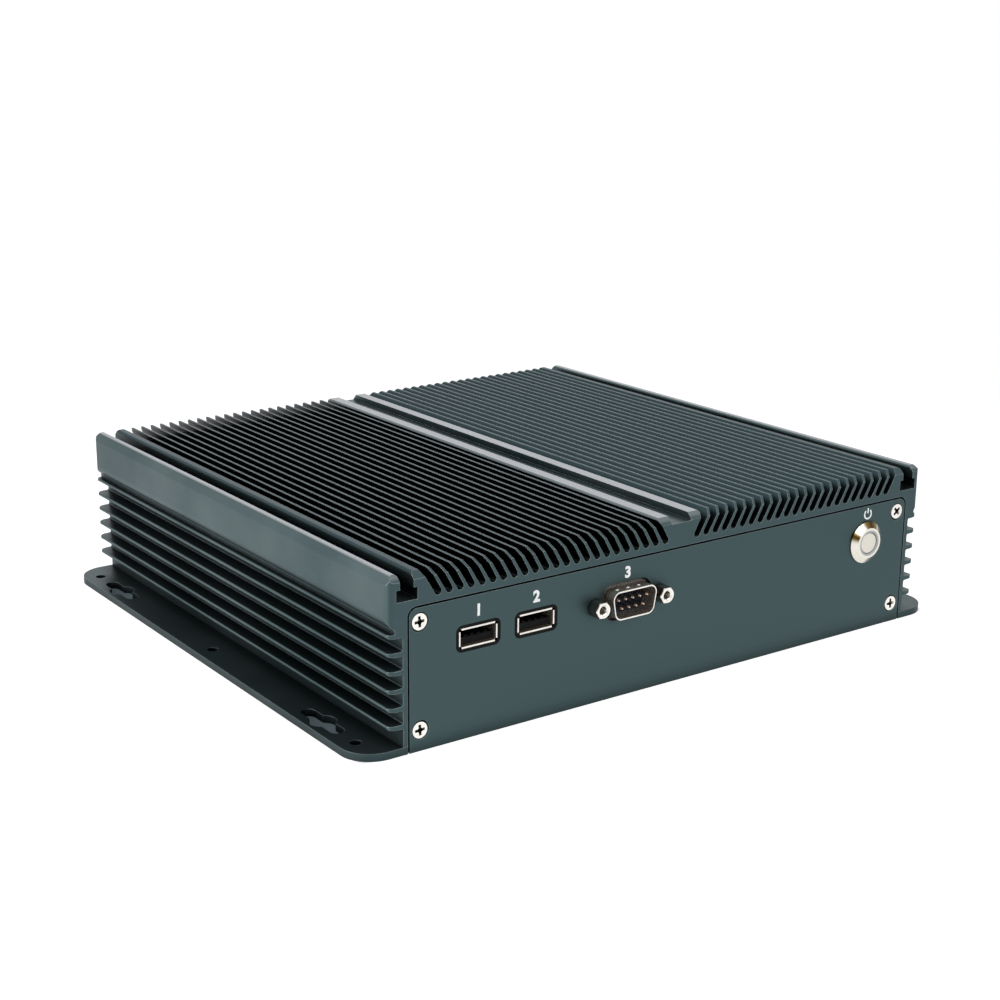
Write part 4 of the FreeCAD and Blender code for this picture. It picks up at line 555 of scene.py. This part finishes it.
# %% [markdown]
# ## Countersunk screws with a cross recess
# The panels and the base plate are held by flat-headed M3 screws, cold headed and nickel plated. The punch
# leaves a cross whose walls draw in towards the bottom. The head lies a tenth of a millimetre below the
# surface, and a thin dark ring shows round it where the sink in the panel is a little wider. A flat face
# with a cross-shaped hole isn't a stack of rings, so that one face is filled by triangulating between the
# head's edge and the cross.

# %% Cross-recess screw
HEAD_RADIUS, HEAD_CHAMFER, HEAD_EDGE = 2.6, 0.10, 0.04
SHANK_RADIUS, SHANK_LENGTH = 1.45, 9.9
SINK = 0.1
CROSS_ARM, CROSS_CROWN = 1.62, 0.08  # from the middle to the end of an arm, and how far its end bulges
CROSS_HALF = 0.44  # half the width of an arm
CROSS_FILLET, FILLET_SAG = 0.30, 0.80
CROSS_DEPTH, CROSS_DRAW = 1.3, 0.55  # the bottom is this share of the mouth


def cross_outline(scale, depth):
    """The recess: four arms joined by small fillets, as one closed loop."""
    arm, half, fillet = CROSS_ARM * scale, CROSS_HALF * scale, (CROSS_HALF + CROSS_FILLET) * scale
    points = []
    for quarter in range(4):
        turn = quarter * math.pi / 2
        for x, y in ((arm, -half), (arm + CROSS_CROWN, 0.0), (arm, half), (fillet, half),
                     (fillet * FILLET_SAG, fillet * FILLET_SAG), (half, fillet)):
            points.append((x * math.cos(turn) - y * math.sin(turn), x * math.sin(turn) + y * math.cos(turn),
                           depth))
    return points


def cross_screw():
    """The whole screw, its head at depth SINK and its shank below."""
    cone = SINK + HEAD_RADIUS - SHANK_RADIUS
    body, faces = join_rings([
        ring(SHANK_RADIUS, SINK + SHANK_LENGTH), ring(SHANK_RADIUS, cone),
        ring(HEAD_RADIUS, SINK + HEAD_CHAMFER + HEAD_EDGE), ring(HEAD_RADIUS - HEAD_CHAMFER, SINK)])
    faces.pop()  # the head's face is made below, round the cross
    rim = list(range(3 * RING_POINTS, 4 * RING_POINTS))
    upper, lower = cross_outline(1.0, SINK), cross_outline(CROSS_DRAW, SINK + CROSS_DEPTH)
    start, count = len(body), len(upper)
    body += upper + lower
    cross = list(range(start, start + count))
    indices = rim + cross
    for triangle in tessellate_polygon([[Vector(body[i]) for i in rim], [Vector(body[i]) for i in cross]]):
        faces.append(tuple(indices[corner] for corner in triangle))
    for index in range(count):
        a, b = start + index, start + (index + 1) % count
        faces.append((a, b, b + count, a + count))
    faces.append(tuple(range(start + count, start + 2 * count)))
    return body, faces


screw_points, screw_faces = cross_screw()
print(f"one screw: {len(screw_points)} points, {len(screw_faces)} faces")

# %% [markdown]
# ## Where the screws sit
# A node's box reaches from the edge of one head to the edge of another, so the outermost axes lie a head's
# radius inside it. Nobody stops a driver at the same angle twice, so each cross has its own turn. The base
# plate has a third screw half way along each side.

# %% Screws of the panels and the base plate
PANEL_SCREW_TURNS = (4, 4, 2, 40)  # degrees that each cross had turned when the screw was tight
BASE_SCREW_TURNS = (20, 57, 94, 131)


def turned_by(place, degrees):
    """The same place with the piece turned round its own axis."""
    return place @ Matrix.Rotation(math.radians(degrees), 4, "Z")


def corners_of(node, inset, axes):
    """Screw axes of a node, from its box: the lowest and highest place on each of two axes."""
    low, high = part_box(node)
    return [(first, second) for first in (low[axes[0]] / MM + inset, high[axes[0]] / MM - inset)
            for second in (low[axes[1]] / MM + inset, high[axes[1]] / MM - inset)]


for node, facing, surface_y in (("front_panel_screws", "front", FRONT_Y),
                                ("rear_panel_screws", "rear", REAR_Y)):
    shapes = [(screw_points, screw_faces, turned_by(placing(x, surface_y, z, facing), degrees))
              for (x, z), degrees in zip(corners_of(node, HEAD_RADIUS, (0, 2)), PANEL_SCREW_TURNS)]
    finish_piece(node + "_cross", shapes, nickel_plate, [node])

shapes = []
for (x, y), degrees in zip(corners_of("base_plate_screws", HEAD_RADIUS, (0, 1)), BASE_SCREW_TURNS):
    for place_y in ((y, 0.0) if y > 0 else (y,)):
        shapes.append((screw_points, screw_faces, turned_by(placing(x, place_y, 0.0, "underside"), degrees)))
finish_piece("base_plate_screws_cross", shapes, nickel_plate, ["base_plate_screws"])

# %% [markdown]
# ## Jackscrews
# Each serial port stands between two hexagonal posts. They are cut from hexagonal bar on a lathe: the tool
# turns the six corners off at the front, countersinks the mouth and taps the bore. Turning a hexagon down
# means that the radius is the smaller of the hexagon's and the cone's, which a ring function says directly.
# The thread is a real helix: the bore's radius rises and falls with the angle and the depth together.

# %% Hexagonal post with a tapped bore
POST_REACH, POST_APOTHEM = 4.4, 2.45
STUD_RADIUS, STUD_LENGTH = 1.4, 5.4
CORNERS_WHOLE = 0.55  # how far behind the face the hexagon has all its corners
CORNER_CUTS = ((2.70, 0.36), (2.50, 0.18))  # radius that the corners are turned to, and how far behind
FACE_RADIUS, MOUTH_RADIUS, MOUTH_DEPTH = 2.30, 1.80, 0.42
BORE_RADIUS, BORE_FROM, BORE_DEPTH, BORE_STEPS = 1.22, 0.45, 3.8, 30
THREAD_PITCH, THREAD_HEIGHT = 0.635, 0.17


def hexagon(largest=None):
    """Radius of the bar's hexagon at an angle, turned down to largest where that is smaller."""
    def radius(angle):
        flat = POST_APOTHEM / math.cos((angle % (math.pi / 3)) - math.pi / 6)
        return flat if largest is None else min(flat, largest)
    return radius


def thread(depth):
    """Radius of the tapped bore: a rounded V that climbs one pitch in each turn."""
    def radius(angle):
        phase = (angle / (2 * math.pi) + depth / THREAD_PITCH) % 1.0
        return BORE_RADIUS + THREAD_HEIGHT * (1 - abs(2 * phase - 1))
    return radius


def jackscrew():
    """One post: stud, hexagon, turned corners, countersunk mouth and tapped bore."""
    face = -POST_REACH
    rings = [ring(STUD_RADIUS, STUD_LENGTH), ring(STUD_RADIUS, 0.0), ring(hexagon(), 0.0),
             ring(hexagon(), face + CORNERS_WHOLE)]
    rings += [ring(hexagon(largest), face + behind) for largest, behind in CORNER_CUTS]
    rings += [ring(FACE_RADIUS, face), ring(MOUTH_RADIUS, face),
              ring(BORE_RADIUS + THREAD_HEIGHT, face + MOUTH_DEPTH)]
    for step in range(BORE_STEPS + 1):
        share = step / BORE_STEPS
        rings.append(ring(thread(share * BORE_DEPTH), face + BORE_FROM + share * (BORE_DEPTH - BORE_FROM)))
    return join_rings(rings)


post_points, post_faces = jackscrew()
print(f"one post: {len(post_points)} points, thread pitch {THREAD_PITCH} mm")

# %% [markdown]
# ## Where the posts stand
# The two posts of a port stand 24.99 mm apart, which is the connector's standard. The front has one pair,
# beside its port. The rear has two pairs side by side near one end and one pair near the other, so the
# corners of the outermost posts and the step between neighbouring ports place all six.

# %% Posts of the serial ports
POST_CORNER = POST_APOTHEM / math.cos(math.pi / 6)
PAIR_SPACING = 24.99
REAR_PORT_STEP = 33.0


def row_of_posts(node, facing, surface_y, ports):
    """The posts beside a row of ports, which are given by their middles."""
    height = middle_of(node).z
    shapes = [(post_points, post_faces, placing(port + side * PAIR_SPACING / 2, surface_y, height, facing))
              for port in ports for side in (-1, 1)]
    finish_piece(node + "_tapped", shapes, nickel_plate, [node])


row_of_posts("serial_port_jackscrews", "front", FRONT_Y, [serial_port.x])
low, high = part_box("rear_serial_jackscrews")
inset = POST_CORNER + PAIR_SPACING / 2
first, last = low.x / MM + inset, high.x / MM - inset
row_of_posts("rear_serial_jackscrews", "rear", REAR_Y, [first, first + REAR_PORT_STEP, last])

# %% [markdown]
# ## Dimples of the serial shell
# A serial shell is drawn from one steel sheet, and small dimples pressed outwards grip the plug's shell. Each
# is a low dome, again a stack of rings. They are shallow, but their highlights are what makes a stamped
# shell look stamped.

# %% Dimples of the serial shell
DIMPLE_RADIUS, DIMPLE_HEIGHT, DIMPLE_LEVELS = 0.72, 0.30, 5
DIMPLE_TIP = 0.02  # radius of the flat at the very top
DIMPLE_OFFSETS = (-5.4, -1.2, 3.0)  # across, from the port's middle
DIMPLE_OUT = 1.4  # in front of the panel
SHELL_HALF_HEIGHT = 4.6
OVERLAP = 0.02  # how deep a pressed detail starts inside its sheet


def dimple():
    """A low dome, as a stack of rings that shrink as they rise."""
    rings = []
    for level in range(DIMPLE_LEVELS + 1):
        angle = math.pi / 2 * level / DIMPLE_LEVELS
        rings.append(ring(DIMPLE_RADIUS * math.cos(angle) + DIMPLE_TIP, -DIMPLE_HEIGHT * math.sin(angle)))
    return join_rings(rings)


dome_points, dome_faces = dimple()
top_z = serial_port.z + SHELL_HALF_HEIGHT
shapes = [(dome_points, dome_faces,
           placing(serial_port.x + offset, FRONT_Y - DIMPLE_OUT, top_z - OVERLAP, "upward"))
          for offset in DIMPLE_OFFSETS]
finish_piece("serial_port_shell_dimples", shapes, pressed_plate)

# %% [markdown]
# ## Leaf springs of the data ports
# The data ports hold a plug with leaf springs, cut out of the shell's own sheet on three sides and bent
# inwards. A spring is a bowed strip, drawn once and mirrored for the upper and the lower wall.

# %% Leaf springs of the data ports
SPRING_WIDTH, SPRING_LENGTH, SPRING_BOW, SPRING_SHEET, SPRING_STEPS = 2.2, 6.5, 0.55, 0.12, 10
SPRING_OFFSET = 3.1  # to each side of the port's middle
SPRING_IN = 2.4  # its root, behind the panel's face
OPENING_HALF_HEIGHT = 2.56
BOW_PACE = 1.15  # the bow is over a little before the strip's end
TURNED_BACK = 0.87  # share of the length from which the strip lies at the wall again
BOW_LEFT = 0.02  # share of the bow that is left there


def spring_rise(along):
    """How far the strip stands off its wall, at a share of its length."""
    if along >= TURNED_BACK:
        return SPRING_BOW * BOW_LEFT
    return SPRING_BOW * math.sin(math.pi * along * BOW_PACE) ** 1.5


def leaf_spring():
    """A strip that starts flush with the wall, bows inwards and turns back at its end."""
    half, points, faces = SPRING_WIDTH / 2, [], []
    for step in range(SPRING_STEPS + 1):
        along = step / SPRING_STEPS
        for x, lift in ((-half, 0), (half, 0), (half, SPRING_SHEET), (-half, SPRING_SHEET)):
            points.append((x, spring_rise(along) + lift, along * SPRING_LENGTH))
    for step in range(SPRING_STEPS):
        for edge in range(4):
            a, b = step * 4 + edge, step * 4 + (edge + 1) % 4
            faces.append((a, b, b + 4, a + 4))
    faces += [(0, 1, 2, 3), tuple(range(len(points) - 4, len(points)))]
    return points, faces


spring_points, spring_faces = leaf_spring()
shapes = []
for port in data_ports:
    for offset in (-SPRING_OFFSET, SPRING_OFFSET):
        for side in (-1, 1):
            wall_z = port.z + side * (OPENING_HALF_HEIGHT - OVERLAP)
            place = placing(port.x + offset, FRONT_Y + SPRING_IN, wall_z, "front")
            shapes.append((spring_points, spring_faces, place @ Matrix.Diagonal((1, -side, 1, 1))))
finish_piece("data_port_springs", shapes, shaded_tin_contact)

# %% [markdown]
# ## Painted shade round the data ports
# The gap between each data port's lips and the panel lies in shade. A thin black rounded frame, a few
# hundredths of a millimetre proud of the panel, is painted there as that shade.

# %% Painted shade round the ports
PORT_SHADE_OUTER, PORT_SHADE_INNER = (15.6, 8.2, 2.0), (13.7, 6.3, 0.9)  # width, height, corner radius
PORT_SHADE_PROUD, PORT_SHADE_SUNK = 0.05, 0.05
CORNER_STEPS = 8


def rounded_rectangle(width, height, radius):
    """Points round a rectangle with rounded corners, anticlockwise."""
    points = []
    for corner, (x, z) in enumerate(((1, 1), (-1, 1), (-1, -1), (1, -1))):
        for step in range(CORNER_STEPS + 1):
            angle = math.pi / 2 * (corner + step / CORNER_STEPS)
            points.append((x * (width / 2 - radius) + radius * math.cos(angle),
                           z * (height / 2 - radius) + radius * math.sin(angle)))
    return points


def flat_frame(outer, inner, proud, sunk):
    """A closed frame between two outlines, from sunk below the surface to proud above it."""
    loops = [[(x, z, depth) for x, z in line]
             for line, depth in ((outer, sunk), (outer, -proud), (inner, -proud), (inner, sunk))]
    count = len(outer)
    faces = []
    for loop in range(4):
        for index in range(count):
            a, b = loop * count + index, loop * count + (index + 1) % count
            across = count if loop < 3 else -3 * count
            faces.append((a, b, b + across, a + across))
    return [point for loop in loops for point in loop], faces


frame_points, frame_faces = flat_frame(rounded_rectangle(*PORT_SHADE_OUTER), rounded_rectangle(*PORT_SHADE_INNER),
                                       PORT_SHADE_PROUD, PORT_SHADE_SUNK)
# black nylon here is painted shade in the gap, not a part
shapes = [(frame_points, frame_faces, placing(port.x, FRONT_Y, port.z, "front")) for port in data_ports]
finish_piece("data_port_gap_shade", shapes, black_nylon)

# %% [markdown]
# ## Printed numbers
# The panel's marks are screen printed: a film of white two-part ink a few hundredths of a millimetre thick.
# The ports carry plain numbers. They come from Blender's own font as a curve, which is extruded to the film's
# thickness and turned into a mesh.

# %% Numbers over the ports
INK_THICKNESS = 0.03
INK_SPREAD = 0.2  # how far the ink makes each stroke wider
FIGURE_HEIGHT, FIGURE_SHARE = 3.4, 0.70  # a figure is this share of the font's size
OVER_DATA_PORT, OVER_SERIAL_PORT = 7.6, 8.6  # from the port's middle up to the number's


def number_mesh(name, text):
    """The mesh of a number, lying flat with its middle at the origin."""
    curve = bpy.data.curves.new(name + "_outline", "FONT")
    curve.body = text
    curve.align_x, curve.align_y = "CENTER", "CENTER"
    curve.size = FIGURE_HEIGHT / FIGURE_SHARE * MM
    curve.offset = INK_SPREAD * MM
    curve.extrude = INK_THICKNESS / 2 * MM
    outline = new_object(name + "_outline", curve)
    bpy.context.view_layer.update()
    mesh = bpy.data.meshes.new_from_object(outline.evaluated_get(bpy.context.evaluated_depsgraph_get()))
    bpy.data.objects.remove(outline)
    return mesh


for text, port, above in (("1", data_ports[0], OVER_DATA_PORT), ("2", data_ports[1], OVER_DATA_PORT),
                          ("3", serial_port, OVER_SERIAL_PORT)):
    name = "port_number_" + text
    mesh = number_mesh(name, text)
    mesh.materials.clear()
    mesh.materials.append(printed_ink)
    piece = new_object(name, mesh)
    piece.rotation_euler = (math.pi / 2, 0, 0)
    piece.location = Vector((port.x, FRONT_Y - INK_THICKNESS / 2, port.z + above)) * MM
    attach(piece, "computer")
    print(f"{name}: {len(mesh.polygons)} faces")

# %% [markdown]
# ## Standby sign
# Above the button stands the usual standby sign, a ring that is open at the top with a bar in the gap. Both
# are strips of even width along a line of points, as thick as the film of ink.

# %% Standby sign
SIGN_RADIUS, SIGN_HALF_WIDTH = 1.55, 0.27
SIGN_BAR = [(0, 0.3), (0, 2.1)]  # from near the ring's middle to above it
SIGN_OPENING = math.radians(38)  # to each side of the bar
SIGN_STEPS = 40
SIGN_PLACE = (0.5, 9.6)  # right of and above the button's middle


def strip(points, half_width):
    """A flat strip of even width along a line of (x, z) points."""
    lower, upper = [], []
    for index, here in enumerate(points):
        before, after = points[max(index - 1, 0)], points[min(index + 1, len(points) - 1)]
        along = Vector((after[0] - before[0], after[1] - before[1])).normalized()
        lower.append((here[0] + along.y * half_width, here[1] - along.x * half_width))
        upper.append((here[0] - along.y * half_width, here[1] + along.x * half_width))
    flat = lower + upper[::-1]
    count = len(flat)
    solid = [(x, z, 0.0) for x, z in flat] + [(x, z, -INK_THICKNESS) for x, z in flat]
    faces = []
    for near in range(len(points) - 1):
        far = count - 1 - near
        faces.append((near, near + 1, far - 1, far))
        faces.append((near + count, near + 1 + count, far - 1 + count, far + count))
    for index in range(count):
        following = (index + 1) % count
        faces.append((index, following, following + count, index + count))
    return solid, faces


sweep = 2 * math.pi - 2 * SIGN_OPENING
angles = [math.pi / 2 + SIGN_OPENING + step * sweep / SIGN_STEPS for step in range(SIGN_STEPS + 1)]
open_ring = [(SIGN_RADIUS * math.cos(angle), SIGN_RADIUS * math.sin(angle)) for angle in angles]
place = placing(power_button.x + SIGN_PLACE[0], FRONT_Y, power_button.z + SIGN_PLACE[1], "front")
shapes = [(*strip(line, SIGN_HALF_WIDTH), place) for line in (open_ring, SIGN_BAR)]
finish_piece("standby_sign", shapes, printed_ink)

# %% [markdown]
# ## Camera
# The camera stands to the front left, a little above the fins. A long lens keeps the box's edges almost
# parallel, and a small shift puts the box where the frame wants it.

# %% Camera
CAMERA_PLACE = Vector((-355.68, -494.10, 212.17)) * MM
CAMERA_TURN = math.radians(33.527)  # to the right of straight ahead
CAMERA_DIP = math.radians(15.817)
CAMERA_ROLL = math.radians(-0.18)
camera_data = bpy.data.cameras.new("camera")
camera_data.lens = 64.43
camera_data.sensor_width = 36.0
camera_data.shift_x = 0.0752
camera_data.shift_y = -0.0133
camera_data.clip_start = 0.01
camera = new_object("camera", camera_data)
camera.location = CAMERA_PLACE
heading = Matrix.Rotation(-CAMERA_TURN, 4, "Z") @ Matrix.Rotation(math.pi / 2 - CAMERA_DIP, 4, "X")
camera.rotation_euler = (heading @ Matrix.Rotation(CAMERA_ROLL, 4, "Z")).to_euler()
bpy.context.scene.camera = camera
print(f"camera: lens {camera_data.lens:.1f} mm, {camera.location.length:.2f} m from the middle")

# %% [markdown]
# ## White paper
# The box stands on a sheet of white paper. To the camera and in reflections it is lifted to white, and
# further out it is plain white, while the light that it throws back on the object stays at a plain level.
# Below the base plate the paper is painted dark as shade, which shows through the keyholes.

# %% White paper
WHITE_FROM, WHITE_AT = 0.15, 0.42  # metres from the middle between which the shadow fades out
# the second colour of each pair is painted shade below the base plate
PAPER, PAPER_SHADE_BELOW = "#F2F3F3", "#5E686C"
LIFT, LIFT_SHADE_BELOW, LIFT_STRENGTH = "#FFFFFF", "#3C4549", 0.74
SHADE_FADES, SHADE_ENDS = 4 * MM, 1 * MM  # how far inside the plate's edge


def seen_directly(tree_owner):
    """1 where the ray comes from the camera or a reflection or refraction, 0 where it carries soft light."""
    path = add(tree_owner, "LightPath")
    seen = path.outputs["Is Camera Ray"]
    for kind in ("Is Glossy Ray", "Is Transmission Ray"):
        seen = add(tree_owner, "Math", {"operation": "MAXIMUM"}, (seen, path.outputs[kind]))
    return seen


def under_the_box(material, place):
    """Where the paper is painted as shade: 1 below the base plate, 0 outside it."""
    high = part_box("base_plate")[1]
    parts = add(material, "SeparateXYZ", None, (place,))
    inside = []
    for axis, edge in (("X", high.x), ("Y", high.y)):
        off = add(material, "Math", {"operation": "ABSOLUTE"}, (parts.outputs[axis],))
        inside.append(add(material, "MapRange", None,
                          (off, edge - SHADE_FADES, edge - SHADE_ENDS, 1.0, 0.0)))
    return share_of_all(material, inside)


def white_paper():
    """White paper that fades out to plain white, with painted shade below the box, and takes soft light as
    paper does.
    """
    material = new_material("studio_white_paper")
    place = add(material, "TexCoord").outputs["Object"]
    distance = add(material, "VectorMath", {"operation": "LENGTH"}, (place,)).outputs["Value"]
    far = add(material, "MapRange", None, (distance, WHITE_FROM, WHITE_AT))
    # below is the share of painted shade under the base plate
    below = under_the_box(material, place)
    tone = add(material, "Mix", COLOURS, i0=below, i6=linear(PAPER), i7=linear(PAPER_SHADE_BELOW)).outputs[2]
    glow = add(material, "Mix", COLOURS, i0=below, i6=linear(LIFT), i7=linear(LIFT_SHADE_BELOW)).outputs[2]
    paint = add(material, "BsdfDiffuse", None, Color=tone)
    lift = add(material, "Emission", None, Color=glow, Strength=LIFT_STRENGTH)
    lifted = add(material, "AddShader", None, (paint, lift))
    white = add(material, "Emission", None, Color=linear("#FFFFFF"), Strength=1.0)
    look = add(material, "MixShader", None, (far, lifted, white))
    return surface(material, add(material, "MixShader", None, (seen_directly(material), paint, look)))


paper = white_paper()
print("paper material:", paper.name, "with", len(paper.node_tree.nodes), "nodes")

# %% [markdown]
# ## Floor
# One large flat sheet lies just under the base plate. It is part of the studio and not of the object.

# %% Floor
FLOOR_DROP = 0.2 * MM  # a hair below the base plate, so that the two never share a plane
FLOOR_REACH = 12.0

mesh = bpy.data.meshes.new("floor")
corners = [(x * FLOOR_REACH, y * FLOOR_REACH, -FLOOR_DROP) for x, y in ((-1, -1), (1, -1), (1, 1), (-1, 1))]
mesh.from_pydata(corners, [], [(0, 1, 2, 3)])
mesh.materials.append(paper)
floor = new_object("floor", mesh)
print("floor:", 2 * FLOOR_REACH, "m across")

# %% [markdown]
# ## World and lamps
# Large soft lamps stand left, right and behind, because satin metal shows the lamp's shape in every
# highlight. The world looks plain white to the camera and in reflections. The soft light that it gives
# comes from a pale horizon below a darker ceiling, so that upright faces get more of it than flat tops.

# %% World and lamps
LEVEL = 0.62  # overall lamp level: a colour renders about as it is written
HORIZON, CEILING, CEILING_FROM = 1.05, 0.25, 0.8


def studio_world():
    """White where it is seen, and a pale horizon below a darker ceiling where it lights."""
    world = bpy.data.worlds.new("studio")
    world.use_nodes = True
    world.node_tree.nodes.clear()
    direction = add(world, "TexCoord").outputs["Generated"]
    upward = add(world, "SeparateXYZ", None, (direction,)).outputs["Z"]
    room = add(world, "MapRange", None, (upward, 0.0, CEILING_FROM, HORIZON, CEILING))
    strength = add(world, "Mix", {"data_type": "FLOAT"}, i0=seen_directly(world), i2=room, i3=1.0)
    background = add(world, "Background", None, Color=linear("#FFFFFF"), Strength=strength)
    add(world, "OutputWorld", None, Surface=background)
    bpy.context.scene.world = world


def lamp(name, heading, height, distance, width, tall, watts):
    """A soft rectangular lamp. heading is its compass direction in degrees: 0 is +Y, 90 is +X."""
    data = bpy.data.lights.new(name, "AREA")
    data.shape = "RECTANGLE"
    data.size, data.size_y, data.energy = width, tall, watts * LEVEL
    turn, lift = math.radians(heading), math.radians(height)
    towards = Vector((math.sin(turn) * math.cos(lift), math.cos(turn) * math.cos(lift), math.sin(lift)))
    light = new_object(name, data)
    light.location = towards * distance
    light.rotation_euler = (-towards).to_track_quat("-Z", "Y").to_euler()
    light.visible_camera = False
    print(f"{name}: {data.energy:.1f} W, {width} by {tall} m")


studio_world()
lamp("left_lamp", -80, 20, 1.7, 1.0, 0.8, 20)
lamp("right_lamp", 170, 24, 1.8, 1.2, 0.8, 16)
lamp("back_lamp", 35, 24, 1.8, 1.6, 0.4, 4)
bpy.context.scene.view_settings.view_transform = "Standard"
